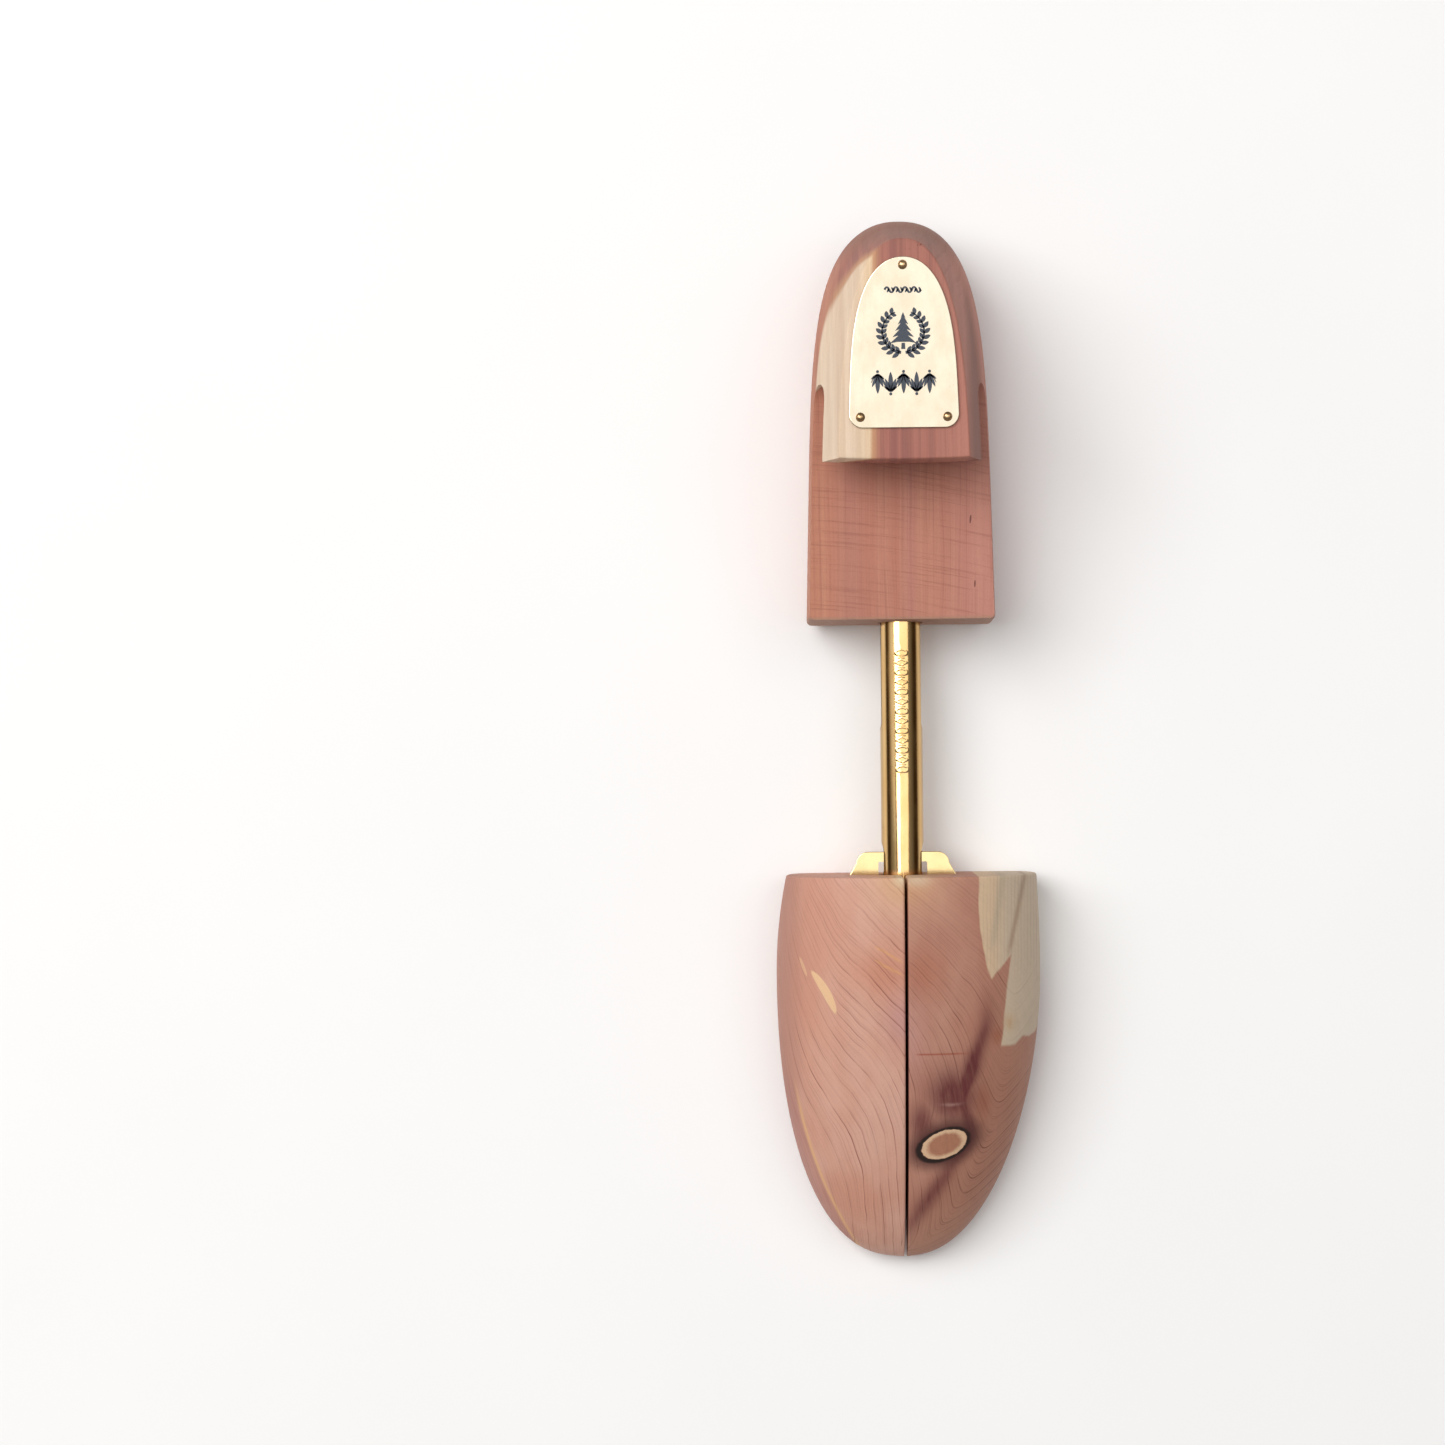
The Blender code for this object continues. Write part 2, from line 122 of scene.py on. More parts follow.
def softbox(name, place, size, power):
    """A rectangular lamp at `place` that points at the tree."""
    lamp = bpy.data.lights.new(name, "AREA")
    lamp.shape = "RECTANGLE"
    lamp.size, lamp.size_y = size
    lamp.energy = power
    thing = bpy.data.objects.new(name, lamp)
    scene.collection.objects.link(thing)
    thing.location = place
    thing.rotation_mode = "QUATERNION"
    thing.rotation_quaternion = Vector(place).to_track_quat("Z", "Y")


softbox("key softbox", (-1.07, 0.66, 2.10), (1.40, 2.0), 44.5)
softbox("ceiling panel", (0.60, 0.35, 2.30), (1.50, 2.4), 15.6)
softbox("left panel", (-1.95, 0.30, 1.25), (0.70, 1.8), 2.4)

world = bpy.data.worlds.new("studio")
world.use_nodes = True
world.node_tree.nodes["Background"].inputs["Color"].default_value = (1.0, 0.98, 0.96, 1.0)
world.node_tree.nodes["Background"].inputs["Strength"].default_value = 0.23
scene.world = world

# %% [markdown]
# ## A small language for materials
# Shader maths reads best as ordinary expressions. `Number` wraps a socket and turns each operator into a Math node.
# `Finish` holds one material: `node` makes any node from its type, its settings and its sockets.


# %% Numbers that vary over a surface
def maths(operation, swapped=False):
    """A method that adds one Math node to the material. `swapped` puts the other number first."""

    def method(self, *others):
        terms = (*others, self) if swapped else (self, *others)
        return self.finish.node("ShaderNodeMath", {"operation": operation}, dict(enumerate(terms)))

    return method


class Number:
    """A socket whose operators add Math nodes to its material."""

    def __init__(self, finish, socket):
        self.finish, self.socket = finish, socket

    __add__ = __radd__ = maths("ADD")
    __mul__ = __rmul__ = maths("MULTIPLY")
    __sub__, __rsub__ = maths("SUBTRACT"), maths("SUBTRACT", swapped=True)
    __truediv__, __rtruediv__ = maths("DIVIDE"), maths("DIVIDE", swapped=True)
    __pow__, __abs__ = maths("POWER"), maths("ABSOLUTE")
    least, most = maths("MINIMUM"), maths("MAXIMUM")
    floor, fraction, root = maths("FLOOR"), maths("FRACT"), maths("SQRT")

    def __neg__(self):
        return self * -1.0

    def ramp(self, low, high):
        """0 below `low`, 1 above `high`, and smooth between. A falling ramp has high below low."""
        if high < low:
            return 1.0 - self.ramp(high, low)
        return self.finish.node(
            "ShaderNodeMapRange",
            {"interpolation_type": "SMOOTHSTEP"},
            {"Value": self, "From Min": low, "From Max": high},
        )

    def near(self, value, width):
        """1 where the number equals `value`, falling like a bell, with `width` as its spread."""
        away = (self - value) / width
        return self.finish.exp(-(away * away))


class Finish:
    """One material, with the place on the tree in millimetres ready as x, y and z."""

    def __init__(self, name):
        self.material = bpy.data.materials.new(name)
        self.material.use_nodes = True
        self.tree = self.material.node_tree
        self.shader = self.tree.nodes["Principled BSDF"]
        self.place = self.node("ShaderNodeTexCoord", out="Object")
        parts = self.tree.nodes.new("ShaderNodeSeparateXYZ")
        self.tree.links.new(self.place.socket, parts.inputs[0])
        self.x, self.y, self.z = (Number(self, parts.outputs[i]) * 1000.0 for i in range(3))
        self.x = self.x - AXIS_X / MM

    def node(self, kind, settings=None, sockets=None, out=0):
        """Any node: its type, its settings, then its sockets' values or links. Returns one output."""
        made = self.tree.nodes.new(kind)
        for key, value in (settings or {}).items():
            setattr(made, key, value)
        for key, value in (sockets or {}).items():
            if isinstance(value, Number):
                self.tree.links.new(value.socket, made.inputs[key])
            else:
                made.inputs[key].default_value = value
        return Number(self, made.outputs[out])

    def exp(self, power):
        return self.node("ShaderNodeMath", {"operation": "EXPONENT"}, {0: power})

    def log(self, number):
        return self.node("ShaderNodeMath", {"operation": "LOGARITHM"}, {0: number, 1: math.e})

    def vector(self, x, y, z):
        return self.node("ShaderNodeCombineXYZ", {}, {0: x, 1: y, 2: z})

    def noise(self, x, y, z, detail=2.0, roughness=0.5):
        """Smooth noise from 0 to 1 that changes about once per unit of x, y and z."""
        sockets = {"Vector": self.vector(x, y, z), "Scale": 1.0, "Detail": detail, "Roughness": roughness}
        return self.node("ShaderNodeTexNoise", {}, sockets)

    def dice(self, number):
        """A different value from 0 to 1 for each whole number."""
        return self.node("ShaderNodeTexWhiteNoise", {"noise_dimensions": "1D"}, {"W": number})

    def mix(self, share, below, above):
        """`below` where share is 0 and `above` where it is 1."""
        return self.node("ShaderNodeMix", {"data_type": "RGBA"}, {0: share, 6: below, 7: above}, out=2)

    def over(self, colour, *layers):
        """Lay paints over the colour, one after the other. A layer is its share, then red, green and blue."""
        for share, *tone in layers:
            colour = self.mix(share, colour, paint(*tone))
        return colour

    def tint(self, colour, amount):
        """The colour made brighter or darker by a number near 1."""
        grey = self.vector(amount, amount, amount)
        return self.node("ShaderNodeVectorMath", {"operation": "MULTIPLY"}, {0: colour, 1: grey})

    def wear(self, colour, roughness, metallic=0.0, height=None, depth=0.0001, **fixed):
        """Join the colour, the roughness and the relief to the shader. `depth` is the relief's full height."""
        for name, value in (("Base Color", colour), ("Roughness", roughness), ("Metallic", metallic)):
            if isinstance(value, Number):
                self.tree.links.new(value.socket, self.shader.inputs[name])
            else:
                self.shader.inputs[name].default_value = value
        for name, value in fixed.items():
            self.shader.inputs[name.replace("_", " ")].default_value = value
        if height is not None:
            relief = self.node("ShaderNodeBump", {}, {"Strength": 1.0, "Distance": depth, "Height": height})
            self.tree.links.new(relief.socket, self.shader.inputs["Normal"])
        return self.material


def paint(red, green, blue):
    """A colour given as the usual 0 to 255 numbers, as the linear colour that shaders use."""
    share = np.array([red, green, blue]) / 255.0
    linear = np.where(share <= 0.04045, share / 12.92, ((share + 0.055) / 1.055) ** 2.4)
    return (*(float(v) for v in linear), 1.0)


print("materials are ready to be mixed")

# %% [markdown]
# ## A plain pale floor
# The tree lies on seamless studio paper. It is almost white, with the faintest mottling so that it isn't one flat
# colour, and it is staged, because it is no part of the object.

# %% The floor
floor_finish = Finish("studio paper")
mottle = floor_finish.noise(floor_finish.x / 90.0, floor_finish.y / 90.0, 0.0, detail=3.0)
floor_colour = floor_finish.mix(mottle, paint(247, 246, 245), paint(251, 250, 249))
floor_mesh = bpy.data.meshes.new("floor")
FLOOR = 14.0
floor_corners = [(x * FLOOR, y * FLOOR, 0) for x, y in ((-1, -1), (1, -1), (1, 1), (-1, 1))]
floor_mesh.from_pydata(floor_corners, [], [(0, 1, 2, 3)])
floor_mesh.materials.append(floor_finish.wear(floor_colour, 0.9))
floor = bpy.data.objects.new("floor", floor_mesh)
floor.location.z = -0.0001
scene.collection.objects.link(floor)
floor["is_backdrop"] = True

# %% [markdown]
# ## Surfaces on a grid
# Most pieces are rows of rings: a closed outline that changes from row to row. One helper turns an array of rings
# into a closed mesh, and another cuts holes and grooves with the Boolean tool and keeps the result.


# %% Skin, carve and hand over
def skin(name, rings, closed=False):
    """Faces between neighbouring rings of an array (rows, points, 3).

    Each face joins points j and j + 1 of rows i and i + 1. The first and last ring are capped, or joined to each
    other when `closed` is set.
    """
    rows, count, _ = rings.shape
    i, j = np.meshgrid(np.arange(rows if closed else rows - 1), np.arange(count), indexing="ij")
    k, m = (i + 1) % rows, (j + 1) % count
    quads = np.stack([i * count + j, i * count + m, k * count + m, k * count + j], axis=-1).reshape(-1, 4)
    faces = quads.tolist()
    if not closed:
        faces += [list(range(count))[::-1], list(range((rows - 1) * count, rows * count))]
    mesh = bpy.data.meshes.new(name)
    mesh.from_pydata(rings.reshape(-1, 3).tolist(), [], faces)
    thing = bpy.data.objects.new(name, mesh)
    scene.collection.objects.link(thing)
    return outward(thing)


def outward(thing):
    """Turn every face outwards: a closed mesh whose signed volume is negative is flipped."""
    mesh = thing.data
    mesh.calc_loop_triangles()
    triangles = np.empty(len(mesh.loop_triangles) * 3, dtype=np.int32)
    mesh.loop_triangles.foreach_get("vertices", triangles)
    places = np.empty(len(mesh.vertices) * 3)
    mesh.vertices.foreach_get("co", places)
    a, b, c = places.reshape(-1, 3)[triangles.reshape(-1, 3)].transpose(1, 0, 2)
    if np.einsum("ij,ij->i", a, np.cross(b, c)).sum() < 0:
        mesh.flip_normals()
    return thing


def carve(thing, *cutters):
    """Take the cutters' volumes out of a piece, and keep the result as its mesh."""
    for cutter in cutters:
        step = thing.modifiers.new("carve", "BOOLEAN")
        step.solver = "EXACT"
        step.object = cutter
    ready = thing.evaluated_get(bpy.context.evaluated_depsgraph_get())
    mesh = bpy.data.meshes.new_from_object(ready)
    thing.modifiers.clear()
    thing.data = mesh
    for cutter in cutters:
        bpy.data.objects.remove(cutter)


def hand_over(thing, body, finish, slot, *nodes, sharp=35.0):
    """Shade the piece, give it its material, and let it ride on its body in place of its nodes."""
    mesh = thing.data
    mesh.shade_smooth()
    mesh.set_sharp_from_angle(angle=math.radians(sharp))
    mesh.materials.clear()
    mesh.materials.append(finish)
    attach(thing, body)
    if nodes:
        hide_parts(*nodes)
    print(thing.name, len(mesh.polygons), "faces")


def around(count, start=0.0, turn=2 * math.pi):
    """Angles that go once round, without the repeated last one."""
    return start + turn * np.arange(count) / count


def quarter(count):
    """Angles over a quarter turn, with both ends."""
    return np.linspace(0, math.pi / 2, count)


def bar(name, start, end, radius, count=64):
    """A round bar: a circle carried from start to end, which lie along X, Y or Z from each other."""
    start, end = np.array(start), np.array(end)
    along = (end - start) / np.linalg.norm(end - start)
    side = np.array([along[1], along[2], along[0]])
    other = np.cross(along, side)
    angle = around(count)[:, None]
    circle = radius * (np.cos(angle) * side + np.sin(angle) * other)
    return skin(name, np.stack([start + circle, end + circle]))


def prism(name, outline, low, high, axis=2):
    """An outline raised along an axis: the same points at `low` and at `high`."""
    rings = np.stack([np.insert(outline, axis, level, axis=1) for level in (low, high)])
    return skin(name, rings)


# %% [markdown]
# ## Cedar
# Aromatic cedar is salmon pink to terracotta, with thin dark growth lines, and cream where it comes from the outside
# of the trunk. Growth lines are the level lines of one smooth number, so each piece only has to say what that number
# is: straight stripes for the heel, and sweeping, knot-bent curves for the toe.
# The number is worked out in the shader from the place on the piece, so it also runs through end grain and cuts.


# %% What all the cedar pieces share
def growth_lines(finish, rings, softness=0.15):
    """Thin dark lines where `rings` passes a whole number: a slow rise, then a sudden end, as latewood has.

    Each ring has its own depth, drawn from its whole number, and the depth also fades in and out along the line.
    """
    phase = rings.fraction()
    rise = phase.ramp(1.0 - softness, 0.955)
    drop = phase.ramp(1.0, 0.965)
    depth = 0.25 + 0.75 * finish.dice(rings.floor())
    fade = finish.noise(finish.x / 7.0, finish.y / 22.0, finish.z / 7.0).ramp(0.34, 0.60)
    return (rise * drop + 0.14 * phase) * depth * (0.30 + 0.70 * fade)


def fibres(finish, across, along):
    """Fine streaks that run with the grain, and the sanded fuzz on top of them."""
    streaks = finish.noise(across * 2.4, along * 0.09, finish.z * 0.3, detail=4.0, roughness=0.62)
    fuzz = finish.noise(finish.x * 2.4, finish.y * 1.5, finish.z * 2.4, detail=3.0, roughness=0.8)
    return streaks, fuzz


def cedar_skin(finish, colour, lines, streaks, fuzz, line_colour, line_strength, marks=0.0):
    """Lay lines, streaks and fuzz over the colour, and make the surface's relief from the same numbers."""
    colour = finish.mix(lines * line_strength, colour, line_colour)
    shade = 0.90 + 0.15 * streaks + 0.22 * (fuzz - 0.5)
    colour = finish.tint(colour, shade)
    height = streaks * 0.35 + fuzz * 0.30 + lines * 0.25 + marks
    roughness = 0.56 + 0.16 * fuzz
    return finish.wear(colour, roughness, height=height, depth=0.00006, Specular_IOR_Level=0.35)


def blot(x, y, at, size, soft=1.0):
    """A soft oval stain: 1 at its middle, falling like a bell, `size` mm wide and high."""
    dx, dy = (x - at[0]) / size[0], (y - at[1]) / size[1]
    return x.finish.exp(-soft * (dx * dx + dy * dy))


LINE_BROWN = paint(126, 60, 48)
print("cedar is ready to be cut")

# %% [markdown]
# ## The toe's shape
# Each half is a row of upright sections from the rear face to the tip. The outline seen from above is a
# superellipse whose powers differ on the two sides, because one side is fuller. The section is flat underneath,
# has a rounded lower corner, and then rises over a softened quarter ellipse to the slit.

# %% Sizes of the toe
TOE_WIDEST = -0.0690
HALF_GAP = 0.00045
TOE_HEIGHT = toe_high[2]
TIP_Z = 0.0065
EDGE = 0.0007
SIDES = {
    "left": {"sign": -1, "widest": 0.0380, "narrowing": 0.085, "power": 2.2, "root": 2.50},
    "right": {"sign": 1, "widest": 0.0410, "narrowing": 0.022, "power": 1.8, "root": 2.15},
}


def toe_width(y, side):
    """Half the width: a parabola behind the widest station, (1 - t^power)^(1/root) ahead of it."""
    s = (y - TOE_WIDEST) / (TOE_REAR - TOE_WIDEST)
    t = np.clip((TOE_WIDEST - y) / (TOE_WIDEST - TOE_TIP), 0, 1)
    rear = side["widest"] * (1 - side["narrowing"] * s * s)
    front = side["widest"] * (1 - t ** side["power"]) ** (1 / side["root"])
    return np.maximum(np.where(y > TOE_WIDEST, rear, front), 0.0016)


def toe_sections(side, rows=150, arc=64):
    """All sections of one half as an array (rows, points, 3).

    Going forward, stations crowd towards the tip. The first few rows grow outwards along a quarter circle, which
    rounds the rear rim, and the same small radius rounds both edges of the slit.
    """
    rim = quarter(6)[:-1]
    way = 1 - (1 - np.linspace(0, 1, rows)) ** 1.7
    y = np.concatenate([TOE_REAR - EDGE * (1 - np.cos(rim)), TOE_REAR - EDGE + (TOE_TIP - TOE_REAR + EDGE) * way])
    shrink = np.concatenate([EDGE * (1 - np.sin(rim)), np.zeros(rows)])
    t = np.clip((TOE_REAR - y) / (TOE_REAR - TOE_TIP), 0, 1)
    wide = toe_width(y, side) - shrink
    high = np.maximum(TIP_Z + 0.0012, TIP_Z + (TOE_HEIGHT - TIP_Z) * (1 - t**1.7) ** 0.55) - shrink
    low = (TIP_Z - 0.0012) * np.clip((t - 0.80) / 0.20, 0, 1) ** 2.4 + shrink
    inner = HALF_GAP + shrink
    middle = low + 0.28 * (high - low)
    corner = np.minimum(0.007, 0.35 * (wide - inner))
    fillet = np.minimum(EDGE, 0.2 * (high - low))

    turn = quarter(9)
    down = [inner[:, None] + fillet[:, None] * (1 - np.cos(turn)), low[:, None] + fillet[:, None] * (1 - np.sin(turn))]
    bend = quarter(14)
    out = [
        (wide - corner)[:, None] + corner[:, None] * np.sin(bend),
        middle[:, None] - (middle - low)[:, None] * np.cos(bend),
    ]
    over = quarter(arc)[1:-1]
    reach = inner + fillet
    up = [
        reach[:, None] + (wide - reach)[:, None] * np.cos(over) ** (2 / 2.3),
        middle[:, None] + (high - middle)[:, None] * np.sin(over) ** (2 / 2.3),
    ]
    top = [
        inner[:, None] + fillet[:, None] * (1 - np.sin(turn)),
        high[:, None] - fillet[:, None] * (1 - np.cos(turn)),
    ]
    floor_x = np.linspace(0, 1, 8)[1:-1]
    under = [reach[:, None] + (wide - corner - reach)[:, None] * floor_x, np.repeat(low[:, None], 6, axis=1)]
    x, z = (np.concatenate(parts, axis=1) for parts in zip(down, under, out, up, top))
    return np.stack([AXIS_X + side["sign"] * x, np.repeat(y[:, None], x.shape[1], axis=1), z], axis=-1)


# %% [markdown]
# Each half has a saw kerf for the flat plate, a half-round recess for the tube's end, and a bore for its pin. They
# are cut out of the finished skin, as they are on the real piece.

# %% Cut both halves
KERF_HALF, KERF_FRONT = 0.0012, -0.069
RECESS_R, RECESS_FRONT = 0.0073, -0.048
PIVOT_X, PIVOT_Y = 0.0105, -0.0500
PIN_HOLE_R, PIN_HOLE_TOP = 0.0018, 0.0333


def toe_half(name, side):
    """The skin of one half, with the kerf, the recess and the pin's bore taken out."""
    thing = skin(name, toe_sections(side))
    sign = side["sign"]
    edge = sorted((-sign * 0.01, sign * 0.024))
    kerf_outline = AXIS_X * np.array([1, 0]) + np.array(
        [(edge[0], KERF_FRONT), (edge[1], KERF_FRONT), (edge[1], TOE_REAR + 0.01), (edge[0], TOE_REAR + 0.01)]
    )
    kerf = prism("kerf", kerf_outline, AXIS_Z - KERF_HALF, AXIS_Z + KERF_HALF)
    recess = bar("recess", (AXIS_X, RECESS_FRONT, AXIS_Z), (AXIS_X, TOE_REAR + 0.01, AXIS_Z), RECESS_R, 96)
    pin_x = AXIS_X + sign * PIVOT_X
    bore = bar("bore", (pin_x, PIVOT_Y, -0.01), (pin_x, PIVOT_Y, PIN_HOLE_TOP), PIN_HOLE_R, 40)
    carve(thing, kerf, recess, bore)
    return thing


toe_left = toe_half("toe_left_cedar", SIDES["left"])
toe_right = toe_half("toe_right_cedar", SIDES["right"])
print("toe halves:", len(toe_left.data.polygons), len(toe_right.data.polygons), "faces")


# %% [markdown]
# ## The left half's grain
# Its growth lines leave the outer edge almost lengthwise, sweep across towards the slit, and turn lengthwise again
# near the tip. With q as the share of the way from the outer edge to the slit, the lines follow
# sqrt(q) = constant + R(s), where s is the distance from the rear face and R climbs ever more slowly.


# %% Grain of the left half
def half_width(finish, ahead_of_widest, side):
    """Half the width in mm, as `toe_width` has it, for the shader."""
    rear_span = (TOE_REAR - TOE_WIDEST) / MM
    front_span = (TOE_WIDEST - TOE_TIP) / MM
    behind = (-ahead_of_widest).most(0.0) / rear_span
    ahead = (ahead_of_widest.most(0.0) / front_span).least(0.999)
    narrowing = 1.0 - side["narrowing"] * behind * behind
    front = (1.0 - ahead ** side["power"]) ** (1 / side["root"])
    return side["widest"] / MM * narrowing * front


GRAIN_LEAN = 0.0105
START = TOE_REAR / MM + 1.2


def on_grain(finish):
    """Place across and along the grain, which leans about half a degree off the slit, and some gentle wander."""
    x = finish.x - 0.2 - GRAIN_LEAN * finish.y
    wave = finish.noise(finish.x / 15.0, finish.y / 30.0, finish.z / 15.0, detail=2.0) - 0.5
    ripple = finish.noise(finish.x / 3.5, finish.y / 9.0, finish.z / 3.5, detail=1.0) - 0.5
    return x, finish.y - 1.2, wave, ripple


left = Finish("cedar toe left")
x, y, wave, ripple = on_grain(left)
share = (abs(x) / 37.0).least(0.985)
out = -18.5 * left.log((1.0 + share) / (1.0 - share))
climb = (START - left.y + 1.3 * out).least(83.0)
bent = (climb - 25.0).most(0.0)
field = out - 0.447 * (climb - bent * bent * bent / 10092.0) + 0.12 * (left.z - 42.0) + 2.6 * wave + 0.5 * ripple
rings = -field / 2.6 + 1.8 * (-field).ramp(26.0, 32.0)
calm = 0.45 + 0.55 * (y - 0.9 * x).ramp(-38.0, -66.0)
left_lines = growth_lines(left, rings) * calm + 0.40 * growth_lines(left, rings * 2.7 + 0.4, 0.35)
streaks, fuzz = fibres(left, rings * 1.3, left.y)

broad = left.noise(left.x / 20.0 + 7.0, left.y / 40.0, left.z / 20.0, detail=3.0)
colour = left.mix(broad.ramp(0.30, 0.70), paint(203, 147, 125), paint(213, 166, 147))
colour = left.over(
    colour,
    (0.55 * blot(x, y, (-6.0, -68.0), (11.0, 7.0)), 198, 128, 98),
    (0.5 * blot(x, y, (-1.0, -82.0), (4.5, 8.0)), 190, 140, 142),
    (0.75 * x.ramp(-27.0, -36.0), 176, 124, 108),
    (0.75 * blot(x, y, (0.0, -41.0), (9.5, 8.5)), 214, 168, 122),
    (0.8 * blot(x, y, (-1.2, -40.4), (2.4, 2.6)), 222, 200, 166),
)
border = x + 31.0 - 0.2 * (-107.0 - y) - 0.0045 * (y + 107.0) * (y + 107.0) + 0.5 * wave
outer = border.ramp(0.3, -1.0) * y.ramp(-96.0, -108.0)
yellow_line = border.near(0.0, 0.45) * y.ramp(-98.0, -112.0)
colour = left.over(colour, (0.6 * outer, 176, 122, 114), (0.7 * yellow_line, 226, 178, 122))
for start_y in (-61.0, -65.0):
    dash = (y - start_y + 0.55 * (x + 8.0) + 1.6 * ripple).near(0.0, 0.45) * x.ramp(-9.5, -7.5) * x.ramp(0.0, -2.5)
    colour = left.mix(0.6 * dash * broad.ramp(0.2, 0.5), colour, paint(222, 164, 106))


def fleck(x, y, at, length, width, lean, bend=0.0):
    """A lens-shaped fleck at `at` in mm, leaning by `lean` radians from the Y axis and bent sideways by `bend`."""
    dx, dy = x - at[0], y - at[1]
    along = (dx * math.sin(lean) + dy * math.cos(lean)) / length
    across = (dx * math.cos(lean) - dy * math.sin(lean) + bend * along * along) / width
    return (along * along + across * across).ramp(1.15, 0.80)


pale = fleck(x, y, (-23.2, -73.6), 7.2, 1.25, -0.52, 0.6).most(0.5 * fleck(x, y, (-29.7, -66.5), 3.0, 0.45, -0.36))
colour = left.mix(0.9 * pale, colour, left.mix(streaks, paint(236, 200, 158), paint(226, 182, 136)))
left_cedar = cedar_skin(left, colour, left_lines * (1.0 - 0.8 * pale), streaks, fuzz, LINE_BROWN, 0.66)
hand_over(toe_left, "left_toe_body", left_cedar, "cedar_toe_left", "toe_half_left")

# %% [markdown]
# ## The right half's grain
# Here the lines cross the slit, bend lengthwise and part round a knot. Round the knot they follow the flow past a
# rod: the offset from the knot's axis is multiplied by 1 - (radius / distance)^2. Outside a purple streak the rings
# show as nested U shapes, and the rear corner is cream sapwood.

# %% Grain of the right half
right = Finish("cedar toe right")
x, y, wave, ripple = on_grain(right)
KNOT = (12.0, -119.6)
KNOT_TILT = math.radians(20.0)
dx, dy = x - KNOT[0], y - KNOT[1]
long_way = (dx * math.cos(KNOT_TILT) + dy * math.sin(KNOT_TILT)) / 7.3
short_way = (dy * math.cos(KNOT_TILT) - dx * math.sin(KNOT_TILT)) / 4.3
wobble = right.noise(right.x / 1.5, right.y / 1.5, 0.0, detail=2.0) - 0.5
knot = (long_way * long_way + short_way * short_way).root() + 0.15 * wobble
on_top = right.z.ramp(9.0, 14.0)

reach = (dx * dx + 0.6 * dy * dy).most(50.0)
parted = dx * (1.0 - 22.0 / reach) + KNOT[0]
climb = (START - right.y + 0.7 * x).least(77.0)
bent = (climb - 20.0).most(0.0)
field = parted - 0.637 * (climb - bent**2.6 / 1676.0) + 0.12 * (right.z - 42.0) + 2.2 * wave + 0.5 * ripple
rings = -field / 2.2
calm = 0.25 + 0.75 * (y + 0.5 * x).ramp(-54.0, -76.0)
flow_lines = growth_lines(right, rings) * calm + 0.35 * growth_lines(right, rings * 2.6 + 0.7, 0.35)

crest = x - half_width(right, TOE_WIDEST / MM - right.y, SIDES["right"]) + 8.0 + 1.5 * wave
cups = y - 1.6 * (crest * crest + 4.0).root()
cup_lines = 1.3 * growth_lines(right, cups / 4.6 + 0.12 * ripple, 0.12) + 0.6 * growth_lines(right, cups / 1.7, 0.30)

path_x = 24.5 - 4.0 * y.ramp(-82.0, -98.0) - 3.0 * y.ramp(-96.0, -106.0)
path_x = path_x + 2.5 * y.ramp(-106.0, -116.0) - 18.5 * ((-118.0 - y).most(0.0) / 30.0)
from_streak = x - path_x + 1.6 * wave
outside = from_streak.ramp(-0.5, 2.0) * y.ramp(-58.0, -74.0)
lines = flow_lines * (1.0 - outside) + 0.8 * cup_lines * outside
streaks, fuzz = fibres(right, rings * 1.2, right.y)

broad = right.noise(right.x / 18.0, right.y / 36.0 + 3.0, right.z / 18.0, detail=3.0)
colour = right.mix(broad.ramp(0.30, 0.70), paint(177, 122, 102), paint(192, 143, 122))
colour = right.over(
    colour,
    (0.5 * blot(x, y, (5.0, -69.0), (7.0, 7.0)), 172, 104, 78),
    (0.5 * blot(x, y, (1.5, -88.0), (5.0, 12.0)), 196, 148, 140),
    (0.6 * outside, 172, 121, 99),
    (0.7 * blot(x, y, (1.0, -42.0), (9.0, 7.0)), 208, 158, 116),
    (0.75 * blot(x, y, (3.4, -40.8), (4.2, 2.2)), 212, 186, 156),
)

# %% [markdown]
# Sapwood meets heartwood along a flame-shaped edge with two tongues. The knot is a tan disc with a cream rim, a black
# ring of bark, and a purple halo that runs on into the streak.

# %% Sapwood, streak and knot
ragged = right.noise(right.x / 2.6, right.y / 8.0, right.z / 2.6, detail=3.0) - 0.5
edge_x = x + 1.2 * ragged
steep = 21.5 + 0.0060 * (-y - 45.0).most(0.0) * (-y - 45.0).most(0.0)
low_side = (26.0 - right.z).most(0.0)
first = (edge_x - steep).ramp(-0.25, 0.35) * (y + 70.6 - 1.15 * (edge_x - 25.5).most(0.0)).ramp(-0.5, 0.8)
tongue = y + 90.4 - 2.2 * x.ramp(32.5, 35.5) + ragged - 0.035 * low_side * low_side
second = (edge_x - 30.2 - 0.1 * (y + 75.0)).ramp(-0.3, 0.4) * tongue.ramp(-0.6, 0.6)
sapwood = first.most(second)
sap_colour = right.mix(x.ramp(25.0, 31.0), paint(212, 184, 152), paint(204, 184, 160))
fold = 0.75 * (x - 0.15 * (y + 50.0)).near(27.4, 1.1) * y.ramp(-64.0, -58.0)
seam = (x - 31.2 - 0.22 * (y + 61.0) + 0.5 * ragged).near(0.0, 0.8) * y.ramp(-66.0, -60.0)
ochre = blot(x, y, (31.2, -83.6), (1.8, 2.4)) * (0.4 + ragged)
sap_colour = right.over(
    sap_colour,
    (fold, 188, 170, 146),
    (0.55 * seam, 150, 118, 94),
    (ochre, 190, 142, 84),
)
sap_rings = (x + 1.5 * wave) * 0.95
sap_lines = growth_lines(right, sap_rings, 0.5) * y.ramp(-74.0, -62.0) + 0.8 * cup_lines * y.ramp(-62.0, -74.0)
colour = right.mix(0.96 * sapwood, colour, sap_colour)

